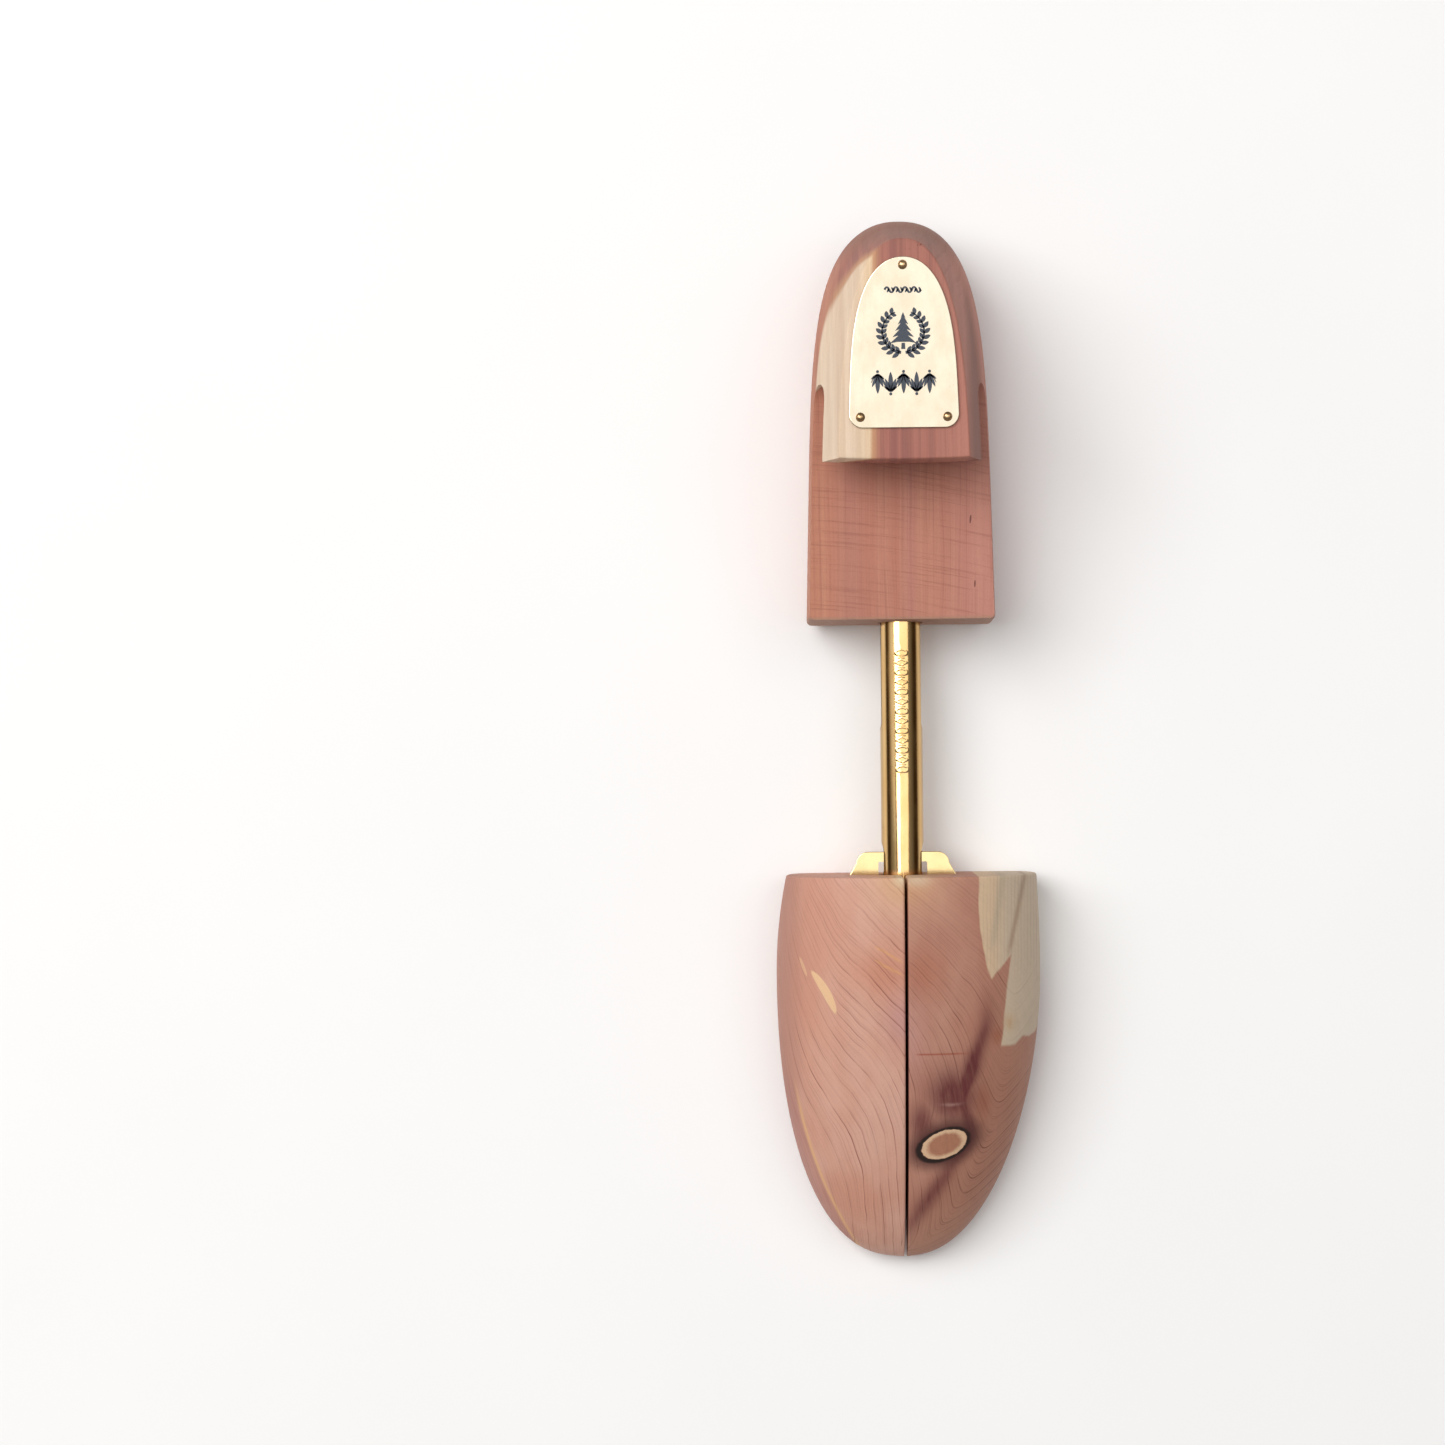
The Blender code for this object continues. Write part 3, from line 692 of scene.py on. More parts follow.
rust = blot(x, y, (27.4, -87.4), (1.9, 2.8)).most(0.8 * blot(x, y, (23.5, -107.0), (2.2, 5.0)))
narrow = from_streak.near(-0.4, 2.6) * y.ramp(-70.0, -88.0) * (1.0 - 0.45 * y.ramp(-119.0, -127.0))
narrow = narrow * y.ramp(-156.0, -140.0)
wide = from_streak.near(-1.6, 3.6) * (y.near(-101.0, 10.0) + 0.9 * y.near(-134.0, 13.0))
shadow = blot(x, y, (14.0, -105.0), (7.5, 8.5)).most(0.8 * blot(x, y, (5.5, -113.0), (4.5, 7.0)))
purple = (0.75 * narrow + 0.50 * wide).most(1.1 * shadow).least(0.98) * (0.62 + 0.7 * streaks)
gleam = (y + 107.6 - 0.02 * (x - 13.5) * (x - 13.5) + 0.4 * wobble).near(0.0, 0.5) * x.near(13.8, 2.6)
halo = on_top * knot.ramp(2.1, 1.0)
scratch = (y + 92.3 + 0.3 * wave).near(0.0, 0.28) * x.ramp(2.5, 5.0) * x.ramp(21.0, 14.0)
colour = right.over(
    colour,
    (0.55 * rust * (1.0 - sapwood), 158, 86, 56),
    (purple, 102, 46, 46),
    (0.5 * gleam, 184, 144, 134),
    (0.9 * halo, 78, 40, 38),
    (0.7 * scratch, 150, 68, 46),
)
bark_edge = 1.15 + 0.09 * (-0.11 * (dx + dy)).most(0.0).least(1.0) + 0.25 * wobble
bark = on_top * knot.ramp(0.93, 1.0) * (bark_edge - knot).ramp(-0.05, 0.10)
disc = on_top * knot.ramp(0.97, 0.93)
disc_noise = right.noise(right.x / 1.1, right.y / 2.2, 3.0, detail=3.0)
disc_colour = right.mix(knot.ramp(0.60, 0.84) * 0.9, paint(172, 118, 92), paint(222, 186, 150))
disc_colour = right.tint(disc_colour, 0.82 + 0.30 * disc_noise)
colour = right.mix(bark, colour, paint(36, 22, 17))
colour = right.mix(disc, colour, disc_colour)
quiet = (1.0 - disc) * (1.0 - bark)
lines = (lines * (1.0 - sapwood) + 0.4 * sap_lines * sapwood) * quiet
line_colour = right.mix(sapwood, paint(92, 46, 36), paint(118, 96, 78))
right_cedar = cedar_skin(right, colour, lines, streaks, fuzz, line_colour, 0.64, -0.8 * bark)
hand_over(toe_right, "right_toe_body", right_cedar, "cedar_toe_right", "toe_half_right")

# %% [markdown]
# ## The heel block
# One piece of cedar. Seen from above every level is a U with a straight front, so the block is a pile of U outlines
# that shrink upwards from mid height. A long slot with a round inner end then leaves the handle over the finger
# groove. The cutter's corners are rounded, so the handle's edges come out broken, as sanded edges are.

# %% Sizes of the heel
HEEL_HALF, HEEL_TOP_HALF = 0.0279, 0.0200
HEEL_REAR, HEEL_TOP_REAR = 0.1545, 0.1450
HEEL_FRONT, FRONT_RAKE = 0.0368, 0.0014
GROOVE_LOW, GROOVE_HIGH, GROOVE_END = 0.036, 0.048, 0.1055
HANDLE_FRONT = 0.0825
FRONT_CORNER = 0.0014
BORE_R, BORE_END = 0.00665, 0.1030
CROSS_PIN_Y, CROSS_PIN_END = 0.0508, 0.0203
RISE_Z = np.array([0.028, 0.034, 0.040, 0.046, 0.052, 0.060, HEEL_TOP])
RISE = np.array([0.0, 0.05, 0.19, 0.40, 0.57, 0.77, 1.0])


def heel_outlines(steps=56):
    """All levels of the block as an array (levels, points, 3).

    The half width at t, the share of the way to the rear, is half * (1 - 0.105 t) * (1 - t^power)^0.44. Both the half
    width and the rear draw in with the rise, and a quarter ellipse rounds the lower rim.
    """
    rim = 0.0006
    fillet = quarter(6)
    low = 0.010 * (1 - np.cos(quarter(14)))
    z = np.concatenate([low, np.linspace(0.010, HEEL_TOP - rim, 44)[1:], HEEL_TOP - rim * (1 - np.sin(fillet[1:]))])
    rise = np.interp(z, RISE_Z, RISE)
    base = 0.005 * (1 - np.sqrt(1 - np.clip(1 - z / 0.010, 0, 1) ** 2))
    inset = base + np.concatenate([np.zeros(len(z) - 5), rim * (1 - np.cos(fillet[1:]))])
    half = (HEEL_HALF + (HEEL_TOP_HALF - HEEL_HALF) * rise - inset)[:, None]
    rear = (HEEL_REAR + (HEEL_TOP_REAR - HEEL_REAR) * rise - inset)[:, None]
    power = (6.4 - 1.8 * rise)[:, None]
    front = (HEEL_FRONT - FRONT_RAKE * (1 - z / GROOVE_LOW) + inset * 0.35)[:, None]
    t = np.sin(quarter(steps)) ** 0.8
    t0 = FRONT_CORNER / (rear - front)
    t = t0 + (1 - t0) * t[None, :]
    side_x = half * (1 - 0.105 * t) * np.maximum(0, 1 - t**power) ** 0.44
    side_y = front + (rear - front) * t
    bend = quarter(8)[:-1]
    corner_x = side_x[:, :1] - FRONT_CORNER * (1 - np.sin(bend))
    corner_y = front + FRONT_CORNER * (1 - np.cos(bend))
    flat = np.linspace(0, 1, 9)[:-1]
    flat_x = corner_x[:, :1] * flat
    flat_y = np.repeat(front, 8, axis=1)
    x = np.concatenate([flat_x, corner_x, side_x], axis=1)
    y = np.concatenate([flat_y, corner_y, side_y], axis=1)
    x = np.concatenate([x, -x[:, -2:0:-1]], axis=1)
    y = np.concatenate([y, y[:, -2:0:-1]], axis=1)
    return np.stack([AXIS_X + x, y, np.repeat(z[:, None], x.shape[1], axis=1)], axis=-1)


def groove_cutter(columns=25):
    """The slot that frees the handle: a profile in Y and Z carried along X.

    The profile's inner end is a half circle. Its front part bulges with (x / half)^2, so that the handle's front
    face is slightly crowned.
    """
    radius = (GROOVE_HIGH - GROOVE_LOW) / 2
    edge = 0.0006
    end = np.linspace(-math.pi / 2, math.pi / 2, 28)
    y = [HEEL_FRONT - 0.02] + list(GROOVE_END - radius + radius * np.cos(end))
    z = [GROOVE_LOW] + list(GROOVE_LOW + radius + radius * np.sin(end))
    bend = quarter(6)
    y += list(HANDLE_FRONT + edge - edge * np.sin(bend))
    z += list(GROOVE_HIGH + edge - edge * np.cos(bend))
    y += list(HANDLE_FRONT + edge - edge * np.cos(bend)) + [HANDLE_FRONT + edge, HEEL_FRONT - 0.02]
    z += list(HEEL_TOP - edge + edge * np.sin(bend)) + [HEEL_TOP + 0.01] * 2
    y, z = np.array(y), np.array(z)
    x = np.linspace(-0.05, 0.05, columns)
    crown = 0.0007 * (1 - (x / 0.024) ** 2).clip(-1, 1)
    share = np.zeros(len(y))
    share[29:-1] = 1.0
    rings = np.stack(
        [
            AXIS_X + np.repeat(x[:, None], len(y), axis=1),
            y[None, :] - crown[:, None] * share[None, :],
            np.repeat(z[None, :], columns, axis=0),
        ],
        axis=-1,
    )
    return skin("groove", rings)


heel = skin("heel_cedar", heel_outlines())
bore = bar("bore", (AXIS_X, HEEL_FRONT - 0.01, AXIS_Z), (AXIS_X, BORE_END, AXIS_Z), BORE_R, 96)
pin_start, pin_end = ((AXIS_X + x, CROSS_PIN_Y, AXIS_Z) for x in (-0.04, CROSS_PIN_END))
carve(heel, groove_cutter(), bore, bar("pin hole", pin_start, pin_end, PIN_HOLE_R, 40))

# %% [markdown]
# The heel's grain runs straight from front to rear, so its rings are nearly flat sheets seen on edge. The left side
# of the handle is sapwood: the boundary is a sloping plane, golden where it meets the heartwood, and it bends away
# below the handle. The saw left faint slanting marks on the lower step.

# %% Grain of the heel
block = Finish("cedar heel")
x, y, z = block.x, block.y, block.z
sway = block.noise(x / 14.0, y / 70.0, z / 14.0, detail=2.0) - 0.5
across = x + 0.16 * z + 3.0 * sway
rings = 0.42 * across + 0.9 * block.noise(across / 3.0, y / 90.0, 0.0, detail=1.0)
lines = 0.7 * growth_lines(block, rings, 0.4) + 0.5 * growth_lines(block, rings * 3.1 + 0.3, 0.4)
streaks, fuzz = fibres(block, across, y)
band = block.noise(across / 3.2, y / 200.0, z / 40.0, detail=3.0)
colour = block.mix(band.ramp(0.30, 0.70), paint(183, 119, 99), paint(191, 131, 109))
colour = block.over(
    colour,
    (0.55 * x.ramp(-12.0, -27.0), 196, 132, 102),
    (0.55 * x.ramp(6.0, 24.0), 192, 133, 120),
    (0.45 * (across + 9.7).near(0.0, 3.6), 172, 112, 100),
    (0.40 * (across - 8.0).near(0.0, 1.8), 174, 114, 106),
)

handle = z.ramp(38.0, 48.0)
stripes = block.noise(x / 1.6, y / 220.0, 5.0, detail=2.0)
heart_and_chamfer_shade = block.mix(stripes.ramp(0.35, 0.65), paint(148, 94, 86), paint(174, 112, 98))
# The darkest layer, over the handle's right chamfer, is partly the wood's own darker tone and partly painted shade for
# the side turned away from the key light.
heart_and_chamfer_shade = block.over(
    heart_and_chamfer_shade,
    (0.6 * x.ramp(6.0, 12.0), 192, 130, 112),
    (0.9 * x.ramp(18.0, 21.0), 128, 84, 72),
)
colour = block.mix(0.85 * handle, colour, heart_and_chamfer_shade)
colour = block.mix(0.80 * y.ramp(138.0, 150.0) * z.ramp(69.0, 66.0), colour, paint(138, 98, 82))

over_plane = z - 68.0 - 2.1 * (x + 8.8 - 0.015 * (y - 82.0)) + 2.4 * sway
low_down = (44.0 - z).most(0.0)
over_plane = over_plane - 0.08 * low_down * low_down
gold = over_plane.near(0.6, 3.0) * handle
colour = block.mix(0.7 * gold, colour, paint(206, 158, 116))
sapwood = over_plane.ramp(0.2, 3.0)
cream = block.mix(stripes.ramp(0.30, 0.70), paint(220, 192, 164), paint(232, 208, 182))
cream = block.mix(0.6 * x.ramp(-14.0, -9.0), cream, paint(234, 202, 160))
colour = block.mix(sapwood, colour, cream)
torn = block.noise(x * 1.4, y * 0.8, 0.0, detail=3.0).ramp(0.60, 0.68) * z.ramp(66.0, 67.5)
torn = torn * y.ramp(141.0, 143.0) * x.ramp(0.0, 3.0) * x.ramp(12.0, 8.0)
colour = block.mix(0.7 * torn, colour, paint(104, 50, 42))

saw = y + 0.15 * x + 0.0016 * x * x
saw_marks = block.noise(x / 40.0, saw * 1.25, 0.0, detail=4.0, roughness=0.8).ramp(0.52, 0.66)
on_step = z.ramp(35.0, 35.8) * z.ramp(37.0, 36.2)
colour = block.mix(0.30 * saw_marks * on_step, colour, paint(140, 84, 72))
dark_fleck = fleck(x, y, (20.4, 66.0), 1.3, 0.26, 0.1).most(fleck(x, y, (21.5, 47.0), 1.1, 0.24, 0.05))
# The grey-brown over the heel's front face, Y below about 38 mm, is painted shade for the face turned away from the key
# light; the dark flecks are the wood's own.
colour = block.over(
    colour,
    (0.8 * dark_fleck, 92, 46, 42),
    (0.7 * y.ramp(38.0, 36.9), 164, 128, 106),
)
strength = lines * (1.0 - 0.5 * sapwood)
line_colour = block.mix(sapwood, paint(132, 70, 60), paint(176, 134, 100))
heel_cedar = cedar_skin(block, colour, strength, streaks, fuzz, line_colour, 0.36, 0.5 * saw_marks * on_step)
hand_over(heel, "heel_body", heel_cedar, "cedar_heel", "heel_block")

# %% [markdown]
# ## Brass and steel
# The tube and the plates are bright plated brass. Real plating is never a perfect mirror: it has drawing lines along
# its length, small pits, and a slightly uneven tone. All three come from stretched noise.


# %% Metal finishes
def metal(name, tones, rough, stretch, pits=0.3, depth=0.00001, **fixed):
    """A metal with two close tones, and drawing lines stretched by `stretch` = (x, y, z) changes per mm."""
    finish = Finish(name)
    grain = finish.noise(finish.x * stretch[0], finish.y * stretch[1], finish.z * stretch[2], detail=3.0)
    cloud = finish.noise(finish.x / 6.0, finish.y / 9.0, finish.z / 6.0, detail=3.0)
    speck = finish.noise(finish.x * 2.0, finish.y * 2.0, finish.z * 2.0, detail=1.0).ramp(0.66, 0.78)
    colour = finish.mix(cloud.ramp(0.3, 0.7), tones[0], tones[1])
    colour = finish.tint(colour, 0.96 + 0.08 * grain - 0.18 * pits * speck)
    roughness = rough + 0.10 * (grain - 0.5) + 0.10 * pits * speck
    return finish.wear(colour, roughness, metallic=1.0, height=grain + pits * speck, depth=depth, **fixed)


plate_brass = metal("plated plate", (paint(220, 196, 142), paint(230, 206, 152)), 0.10, (3.0, 3.0, 3.0), depth=0.000003)
pin_brass = metal("plain pin brass", (paint(220, 186, 120), paint(232, 200, 138)), 0.30, (3.0, 3.0, 0.3))
steel = metal("zinc-plated steel", (paint(176, 178, 182), paint(196, 198, 200)), 0.32, (2.0, 2.0, 2.0))

# %% [markdown]
# ## The tube
# A pipe is one closed loop of profile turned about the axis: out along the outer wall and back along the inner one.
# A row of raised rings and lozenges runs along its top, where such tubes carry stamped marks. They are part of the
# turned surface: the outer radius grows where a mark is.

# %% Turn and slot the tube
drawn = Finish("plated tube")
drawing = drawn.noise(drawn.x * 5.0, drawn.y * 0.15, drawn.z * 5.0, detail=3.0)
cloud = drawn.noise(drawn.x / 5.0, drawn.y / 8.0, drawn.z / 5.0, detail=4.0)
speck = drawn.noise(drawn.x * 1.8, drawn.y * 1.3, drawn.z * 1.8, detail=1.0).ramp(0.68, 0.76)
off_top = drawn.x / (TUBE_R / MM)
# The flank bands are painted reflection: the brass is darkened where its sides would mirror the dark room.
flank = off_top.near(0.60, 0.18).most((0.0 - off_top).near(0.64, 0.11))
painted_dark_reflection = (flank * (0.75 + 0.5 * cloud)).least(1.0)
bright = drawn.mix(cloud.ramp(0.3, 0.7), paint(229, 187, 126), paint(236, 198, 140))
tube_colour = drawn.mix(0.96 * painted_dark_reflection, bright, paint(92, 54, 8))
# Its last term darkens the colour by up to 38 % at the outermost sides: painted shade at the tube's edges.
tube_colour = drawn.tint(tube_colour, 0.98 + 0.06 * drawing - 0.15 * speck - 0.38 * abs(off_top).ramp(0.80, 0.95))
tube_rough = 0.08 + 0.04 * drawing + 0.10 * speck + 0.05 * painted_dark_reflection
tube_brass = drawn.wear(tube_colour, tube_rough, metallic=1.0, height=drawing + 0.4 * speck, depth=0.000004)

WALL = 0.0009
SLOT = (0.0043, 0.0526, 0.0024)  # front, rear and half its height
WINDOW = (-0.0405, -0.0293, 0.0030)
MARK_START, MARK_END = 0.0285, -0.0090
MARKS = 13
MARK_HEIGHT = 0.00009


def stamped(y, side):
    """Height of the raised marks at distances y along and `side` across the top line, from 0 to 1.

    Each cell of the row holds the outline of a ring, hypot(u, v) near 1, or of a lozenge, |u| + |v| near 1, in turn,
    and a short bar stands between two cells.
    """
    cell = (MARK_START - MARK_END) / MARKS
    number = np.floor((MARK_START - y) / cell)
    u = ((MARK_START - y) % cell) / cell * 2 - 1
    v = side / 0.0020
    ring = np.hypot(u / 0.72, v)
    lozenge = np.abs(u) / 0.80 + np.abs(v)
    distance = np.where(number % 2 == 0, ring, lozenge)
    outline = np.clip(1.5 - np.abs(distance - 0.84) / 0.13, 0, 1)
    bar_mark = np.clip(1.5 - np.abs(np.abs(u) - 1.0) / 0.10, 0, 1) * (np.abs(v) < 0.45)
    inside = np.clip((MARK_START - y) / 0.0004, 0, 1) * np.clip((y - MARK_END) / 0.0004, 0, 1)
    return inside * np.maximum(outline, bar_mark)


def tube_rings(count=228):
    """The pipe as an array (rows, points, 3): a closed profile of Y and radius, turned about the axis."""
    low, high = tube_low[1], tube_high[1]
    rim = 0.00022
    plain = np.linspace(low + rim, MARK_END, 30)[:-1]
    marked = np.arange(MARK_END, MARK_START, 0.00017)
    rear = np.linspace(MARK_START, high - rim, 16)
    outer_y = np.concatenate([plain, marked, rear])
    bend = quarter(4)
    rear_rim, front_rim = bend[1:], bend[:-1][::-1]
    y = np.concatenate(
        [outer_y, high - rim + rim * np.sin(rear_rim), np.linspace(high, low, 12), low + rim * (1 - np.sin(front_rim))]
    )
    radius = np.concatenate(
        [
            np.full(len(outer_y), TUBE_R),
            TUBE_R - rim * (1 - np.cos(rear_rim)),
            np.full(12, TUBE_R - WALL),
            TUBE_R - rim * (1 - np.cos(front_rim)),
        ]
    )
    angle = around(count)
    raised = np.zeros((len(y), count))
    top = np.sin(angle) > 0.5
    across = TUBE_R * (angle - math.pi / 2)
    rows = len(outer_y)
    raised[:rows] = MARK_HEIGHT * np.where(top, stamped(outer_y[:, None], across[None, :]), 0.0)
    r = radius[:, None] + raised
    return np.stack(
        [AXIS_X + r * np.cos(angle), np.repeat(y[:, None], count, axis=1), AXIS_Z + r * np.sin(angle)], axis=-1
    )


def channel(name, front, rear, half):
    """A bar through both sides of the tube: straight edges, and a half circle at each end."""
    turn = np.linspace(-math.pi / 2, math.pi / 2, 16)
    y = np.concatenate([rear - half + half * np.cos(turn), front + half - half * np.cos(turn)])
    z = AXIS_Z + half * np.concatenate([np.sin(turn), -np.sin(turn)])
    return prism(name, np.stack([y, z], axis=1), AXIS_X - 0.01, AXIS_X + 0.01, axis=0)


tube = skin("tube_brass", tube_rings(), closed=True)
carve(tube, channel("slot", *SLOT), channel("window", *WINDOW))
hand_over(tube, "tube_body", tube_brass, "tube_brass", "tube", sharp=50.0)

# %% [markdown]
# ## The toe plate
# A flat stamping: rounded wings behind the toe, a notch each side for the tube's end ring, and two oblique slots in
# which the pins travel. Its edges are slightly rounded by the press, so every outline is stacked with a small inset.


# %% Stamp the plate
def stacked(name, outline, low, high, edge):
    """A flat outline raised from low to high, with both rims rounded by `edge`.

    Points move inwards along the outline's own normal: the tangent is the difference of the two neighbours. One more
    ring on each flat keeps the flat's shading level, because the rounded rim then shares no point with it.
    """
    tangent = np.roll(outline, -1, axis=0) - np.roll(outline, 1, axis=0)
    tangent /= np.linalg.norm(tangent, axis=1, keepdims=True)
    normal = np.stack([-tangent[:, 1], tangent[:, 0]], axis=1)
    area = np.sum(outline[:, 0] * np.roll(outline[:, 1], -1) - outline[:, 1] * np.roll(outline[:, 0], -1))
    inward = normal * np.sign(area)
    bend = quarter(4)
    flat = 1.6 * edge
    insets = np.concatenate([[flat], edge * (1 - np.sin(bend)), edge * (1 - np.cos(bend)), [flat]])
    levels = np.concatenate([[low], low + edge * (1 - np.cos(bend)), high - edge + edge * np.sin(bend), [high]])
    rings = [np.column_stack([outline + inward * i, np.full(len(outline), z)]) for i, z in zip(insets, levels)]
    return skin(name, np.stack(rings))


def mirrored(side):
    """A right-hand outline, front to rear or rear to front, closed with its mirror image about the centre line."""
    x, y = side[:, 0], side[:, 1]
    return np.column_stack([np.concatenate([AXIS_X + x, AXIS_X - x[::-1]]), np.concatenate([y, y[::-1]])])


plate_low, plate_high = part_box("toe_plate")
turn = np.linspace(math.pi / 2, 0, 16)
wing = np.column_stack([0.0102 + 0.0037 * np.cos(turn), plate_high[1] - 0.0033 + 0.0033 * np.sin(turn)])
flare = np.array([(0.0160, -0.0392), (0.0178, -0.0440), (0.0180, -0.0452), (0.0180, -0.0556)])
nose = np.array([(0.0178, -0.0564), (0.0145, -0.0596), (0.0138, -0.0600)])
toe_plate = stacked("toe_plate_brass", mirrored(np.vstack([wing, flare, nose])), plate_low[2], plate_high[2], 0.0002)
PIN_WAY, SLOT_LEAN = 0.006, math.radians(40.0)
NOTCH_FRONT, NOTCH_REAR, NOTCH_CORNER = -0.0428, -0.0352, 0.0003


def pin_slot(sign):
    """The oblique slot: half circles round both ends of the pin's 6 mm way, 40 degrees off the tube's axis."""
    along = np.array([sign * math.sin(SLOT_LEAN), math.cos(SLOT_LEAN)])
    across = np.array([-along[1], along[0]])
    start = np.array([AXIS_X + sign * PIVOT_X, PIVOT_Y])
    turn = np.linspace(-math.pi / 2, math.pi / 2, 14)[:, None]
    half_circle = PIN_HOLE_R * (np.cos(turn) * along + np.sin(turn) * across)
    outline = np.concatenate([start + PIN_WAY * along + half_circle, start - half_circle])
    return prism("pin slot", outline, AXIS_Z - 0.005, AXIS_Z + 0.005)


def notch(sign):
    """The opening beside the tube's wall, rounded at its rear corners."""
    left_x, right_x = sorted((AXIS_X + sign * 0.00485, AXIS_X + sign * RECESS_R))
    cut_y = NOTCH_REAR - NOTCH_CORNER
    front = [(left_x, NOTCH_FRONT), (right_x, NOTCH_FRONT)]
    flat = [(right_x - NOTCH_CORNER, NOTCH_REAR), (left_x + NOTCH_CORNER, NOTCH_REAR)]
    outline = np.array([*front, (right_x, cut_y), *flat, (left_x, cut_y)])
    return prism("notch", outline, AXIS_Z - 0.005, AXIS_Z + 0.005)


carve(toe_plate, pin_slot(-1), pin_slot(1), notch(-1), notch(1))
hand_over(toe_plate, "tube_body", plate_brass, "plate_brass", "toe_plate")

# %% [markdown]
# ## The spring inside the tube
# A wire wound round the tube's axis, with a closed turn at each end as a real compression spring has. It leans on the
# heel's cross pin at one end and on a stop in the tube at the other; here it is built in place and rides on neither
# body.

# %% Wind the spring
WIRE = 0.0006
COIL_R = 0.0043
TURNS = 16.0
spring_low, spring_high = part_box("main_spring")


def spring_rings(per_turn=22, around_wire=10):
    """The wire as an array (rows, points, 3): a circle carried along a helix.

    The distance along Y is the share of the turns, eased so that the first and last turn lie flat.
    """
    share = np.linspace(0, 1, int(TURNS * per_turn) + 1)
    flat = 0.85 / TURNS
    eased = np.clip((share - flat) / (1 - 2 * flat), 0, 1)
    y0, y1 = spring_low[1] + WIRE, spring_high[1] - WIRE
    dead = 2.1 * WIRE * 0.85
    along = y0 + dead * np.clip(share / flat, 0, 1) + (y1 - y0 - 2 * dead) * eased
    along = along + dead * np.clip((share - 1 + flat) / flat, 0, 1)
    turn = 2 * math.pi * TURNS * share
    centre = np.stack([COIL_R * np.cos(turn), along, COIL_R * np.sin(turn)], axis=1)
    outwards = np.stack([np.cos(turn), np.zeros_like(turn), np.sin(turn)], axis=1)
    heading = np.gradient(centre, axis=0)
    heading /= np.linalg.norm(heading, axis=1, keepdims=True)
    other = np.cross(heading, outwards)
    angle = around(around_wire)
    rings = centre[:, None] + WIRE * (
        np.cos(angle)[None, :, None] * outwards[:, None] + np.sin(angle)[None, :, None] * other[:, None]
    )
    return rings + np.array([AXIS_X, 0.0, AXIS_Z])


spring = skin("main_spring_wire", spring_rings())
spring.data.shade_smooth()
spring.data.materials.append(steel)
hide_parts("main_spring")
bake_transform(spring)
for name in ("cross_pin", "spring_seat", "spring_stop", "pivot_pin_left", "pivot_pin_right"):
    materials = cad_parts[name].data.materials
    materials.clear()
    materials.append(pin_brass if name.startswith("pivot") else steel)

# %% [markdown]
# ## The nameplate
# A thin brushed plate. The brushing runs lengthwise, so its fine lines change quickly across and slowly along. Its
# outline draws in towards a round top: half width = base * (1 - 0.1 t) * (1 - t^3.6)^0.47.

# %% Cut the nameplate
name_low, name_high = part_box("nameplate")
PLATE_HALF = (name_high[0] - name_low[0]) / 2
PLATE_CORNER = 0.0040
turn = np.linspace(-math.pi / 2, 0, 14)
corner = np.column_stack(
    [PLATE_HALF - PLATE_CORNER * (1 - np.cos(turn)), name_low[1] + PLATE_CORNER * (1 + np.sin(turn))]
)
t = np.sin(quarter(60))[1:]
start = name_low[1] + PLATE_CORNER
side = np.column_stack(
    [PLATE_HALF * (1 - 0.10 * t) * np.maximum(0, 1 - t**3.6) ** 0.47, start + (name_high[1] - start) * t]
)
outline = mirrored(np.vstack([corner, side[:-1], [(0.00001, name_high[1])]]))
nameplate = stacked("nameplate_brass", outline, name_low[2], name_high[2], 0.00018)
brushed = metal(
    "brushed nameplate", (paint(204, 191, 168), paint(213, 201, 180)), 0.12, (7.0, 0.10, 7.0), 0.5, 0.000002
)
hand_over(nameplate, "heel_body", brushed, "nameplate_brass", "nameplate")

# %% [markdown]
# ## The print on the nameplate
# The plate carries dark printing. Ours is plain decoration in an arrangement of its own: a short wavy rule near the
# top, a fir in a wreath in the middle, and a narrow band of palm leaves near the foot. Each is a thin raised film
# of ink, built as flat shapes, so its edges stay sharp at any distance.

# %% Ink shapes
INK_LOW = name_high[2]
INK_HIGH = INK_LOW + 0.00002


def film(name, outlines):
    """One mesh of many thin films: every outline, an array of X and Y, is raised by the ink's thickness."""
    points, faces, start = [], [], 0
    for outline in outlines:
        x, y = outline.T
        if np.dot(x, np.roll(y, -1)) < np.dot(np.roll(x, -1), y):
            outline = outline[::-1]
        count = len(outline)
        points += [np.column_stack([outline, np.full(count, z)]) for z in (INK_LOW, INK_HIGH)]
        low, high = list(range(start, start + count)), list(range(start + count, start + 2 * count))
        faces += [low[::-1], high]
        faces += [[low[i], low[(i + 1) % count], high[(i + 1) % count], high[i]] for i in range(count)]
        start += 2 * count
    mesh = bpy.data.meshes.new(name)
    mesh.from_pydata(np.concatenate(points).tolist(), [], faces)
    thing = bpy.data.objects.new(name, mesh)
    scene.collection.objects.link(thing)
    return thing


def leaf(x, y, length, width, lean):
    """A pointed leaf: two arcs, half width = width * sin(pi u), from its foot at x, y along `lean` radians."""
    u = np.linspace(0, 1, 12)
    half = width * np.sin(math.pi * u) ** 0.8
    along, across = np.concatenate([u * length, (u * length)[-2:0:-1]]), np.concatenate([half, -half[-2:0:-1]])
    return np.column_stack(
        [x + along * np.cos(lean) - across * np.sin(lean), y + along * np.sin(lean) + across * np.cos(lean)]
    )


def ribbon(points, widths):
    """A stroke along points, with its own half width at each."""
    points, widths = np.array(points), np.array(widths)[:, None]
    tangent = np.gradient(points, axis=0)
    tangent /= np.linalg.norm(tangent, axis=1, keepdims=True)
    normal = np.column_stack([-tangent[:, 1], tangent[:, 0]])
    return np.concatenate([points - normal * widths, (points + normal * widths)[::-1]])


def disc(x, y, radius):
    """A round dot of ink: points at equal angles round its middle."""
    angle = around(14)
    return np.column_stack([x + radius * np.cos(angle), y + radius * np.sin(angle)])


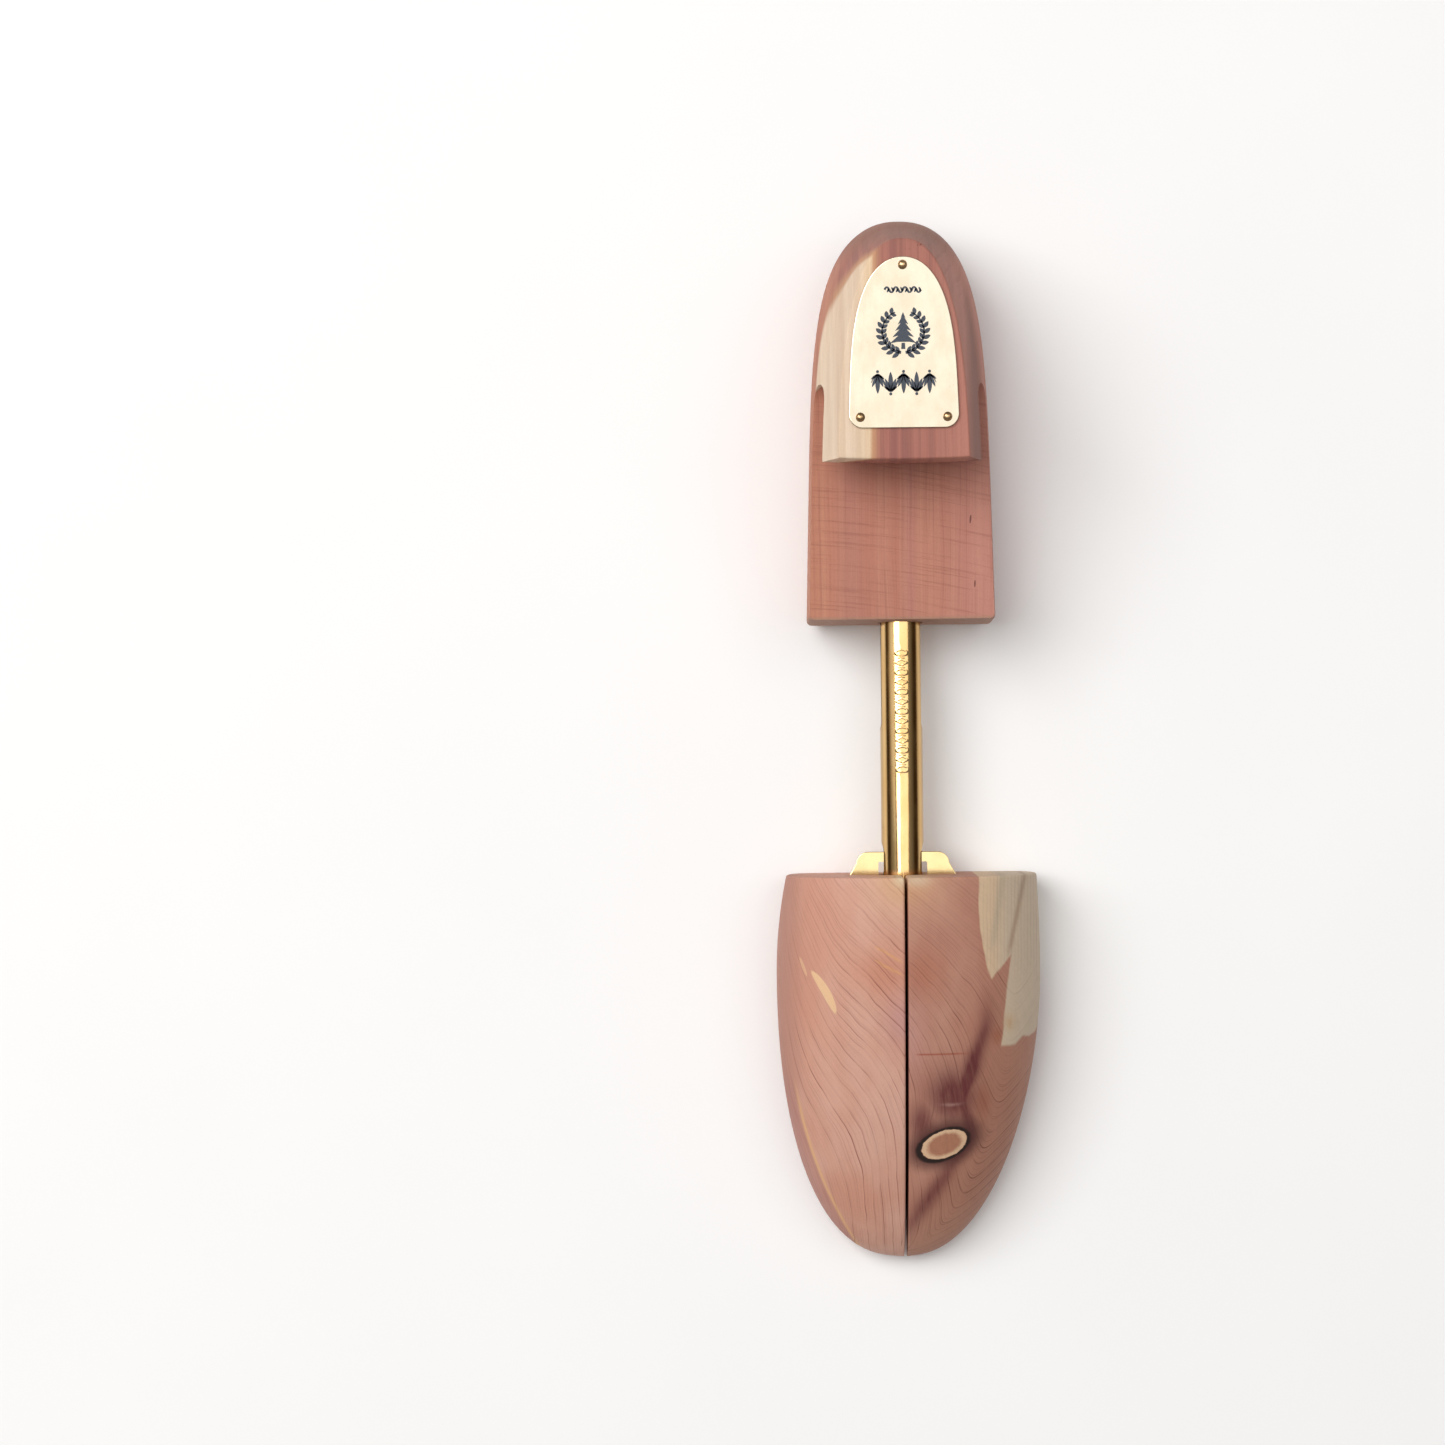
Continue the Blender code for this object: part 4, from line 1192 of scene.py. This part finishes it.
def fir(x, y, height, width, tiers):
    """The outline of a fir: each tier slopes out to its tip and steps back in, on both sides."""
    level = np.arange(tiers)
    reach = width / 2 * (level + 1.0) / tiers
    tip_y = y + height * (1 - (level + 1.0) / tiers)
    right_x = np.column_stack([reach, reach * 0.45]).ravel()
    right_y = np.column_stack([tip_y, tip_y + height * 0.05]).ravel()
    px = np.concatenate([[0.0], right_x, -right_x[::-1]])
    py = np.concatenate([[y + height], right_y, right_y[::-1]])
    return np.column_stack([x + px, py])[::-1]


EMBLEM_Y = 0.1182
WREATH_R = 0.0060
shapes = [fir(AXIS_X, EMBLEM_Y - 0.0034, 0.0090, 0.0078, 5)]
shapes.append(ribbon([(AXIS_X, EMBLEM_Y - 0.0050), (AXIS_X, EMBLEM_Y - 0.0032)], [0.0006, 0.0005]))
for sign in (-1, 1):
    sweep_angle = math.radians(-84.0) + np.linspace(0, 1, 40) * math.radians(152.0)
    stem = np.column_stack([sign * WREATH_R * np.cos(sweep_angle), WREATH_R * np.sin(sweep_angle)])
    shapes.append(ribbon(stem + np.array([AXIS_X, EMBLEM_Y]), np.linspace(0.00045, 0.00018, 40)))
    for i in range(10):
        a = math.radians(-80.0 + 15.0 * i)
        foot_x, foot_y = AXIS_X + sign * WREATH_R * math.cos(a), EMBLEM_Y + WREATH_R * math.sin(a)
        heading = a + math.pi / 2 if sign > 0 else math.pi / 2 - a
        size = 0.0027 - 0.00007 * i
        shapes.append(leaf(foot_x, foot_y, size, 0.00062, heading - sign * 0.80))
        shapes.append(leaf(foot_x, foot_y, size * 0.80, 0.00052, heading + sign * 0.80))
emblem = film("printed_emblem", shapes)

BAND_Y = 0.1036
BAND_HALF = 0.0093
BOWLS = 5
BOWL_HEIGHT = 0.0024
stem_x = np.linspace(-1, 1, 160)
vine = BOWL_HEIGHT * np.sin(math.pi * BOWLS / 2 * (stem_x + 1))
shapes = [ribbon(np.column_stack([AXIS_X + BAND_HALF * stem_x, BAND_Y + vine]), 0.00030 * (1 - 0.7 * stem_x**6))]
for i in range(BOWLS):
    up = 1 if i % 2 == 0 else -1
    x0, y0 = AXIS_X + BAND_HALF * ((2 * i + 1) / BOWLS - 1), BAND_Y + up * BOWL_HEIGHT
    for turn, length, width in ((0.0, 0.0056, 0.00068), (0.42, 0.0040, 0.00046), (0.95, 0.0024, 0.00036)):
        for way in (-1, 1) if turn else (1,):
            shapes.append(leaf(x0, y0, length, width, -up * math.pi / 2 + way * turn))
    shapes.append(disc(x0, y0 + up * 0.0008, 0.00045))
band = film("printed_band", shapes)

RULE_Y = 0.1302
RULE_HALF = 0.0052
RULE_WAVE = 0.0008
rule_x = np.linspace(-1, 1, 140)
rule = np.column_stack([AXIS_X + RULE_HALF * rule_x, RULE_Y + RULE_WAVE * np.sin(rule_x * math.pi * 4)])
shapes = [ribbon(rule, 0.00017 + 0.00018 * np.abs(np.cos(rule_x * math.pi * 4)))]
for i in range(8):
    up = 1 if i % 2 == 0 else -1
    x0 = AXIS_X + RULE_HALF * (-0.875 + 0.25 * i)
    shapes.append(leaf(x0, RULE_Y - up * RULE_WAVE, 0.0014, 0.00030, up * 1.05))
rule_film = film("printed_rule", shapes)

ink = Finish("slate ink")
speckle = ink.noise(ink.x * 3.0, ink.y * 3.0, 0.0, detail=3.0)
ink_colour = ink.mix(speckle.ramp(0.35, 0.75), paint(52, 58, 70), paint(78, 84, 94))
ink_material = ink.wear(ink_colour, 0.5 + 0.2 * speckle)
for printed in (emblem, band, rule_film):
    printed.data.materials.append(ink_material)
    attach(printed, "heel_body")
print("ink films:", len(emblem.data.polygons), len(band.data.polygons), len(rule_film.data.polygons), "faces")

# %% [markdown]
# ## The brass nails
# Three small round-headed nails. Each is one outline turned about its axis: a shallow dome, a thin rim and a shank
# that goes into the wood.


# %% Turn the nails
def turned(name, profile, place, count=48):
    """A profile of radius and height, turned about an upright axis at `place`. Its ends are closed by small caps."""
    radius, height = np.array(profile).T
    angle = around(count)
    rings = np.stack(
        [
            place[0] + radius[:, None] * np.cos(angle),
            place[1] + radius[:, None] * np.sin(angle),
            place[2] + np.repeat(height[:, None], count, axis=1),
        ],
        axis=-1,
    )
    return skin(name, rings)


nail_brass = metal("nail brass", (paint(180, 144, 104), paint(208, 174, 132)), 0.26, (2.0, 2.0, 2.0), 0.6)
NAIL_R, DOME_HEIGHT = 0.00135, 0.0010
bend = np.linspace(0.03, math.pi / 2, 14)
dome = np.column_stack([NAIL_R * np.sin(bend), DOME_HEIGHT * np.cos(bend)])
shank = np.array([(0.00130, -0.00006), (0.0006, -0.00008), (0.0006, -0.0070), (0.00005, -0.0082)])
for name in ("nameplate_nail_rear", "nameplate_nail_left", "nameplate_nail_right"):
    low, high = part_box(name)
    place = ((low[0] + high[0]) / 2, (low[1] + high[1]) / 2, high[2] - DOME_HEIGHT)
    nail = turned(name.replace("nameplate_nail", "brass_nail"), np.vstack([dome, shank]), place)
    hand_over(nail, "heel_body", nail_brass, "nail_brass", name)

# %% Write the sizes and finish
bpy.context.view_layer.update()
seen_box = [list(corner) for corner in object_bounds()]
print("visual box in mm:", [[round(v / MM, 1) for v in corner] for corner in seen_box])
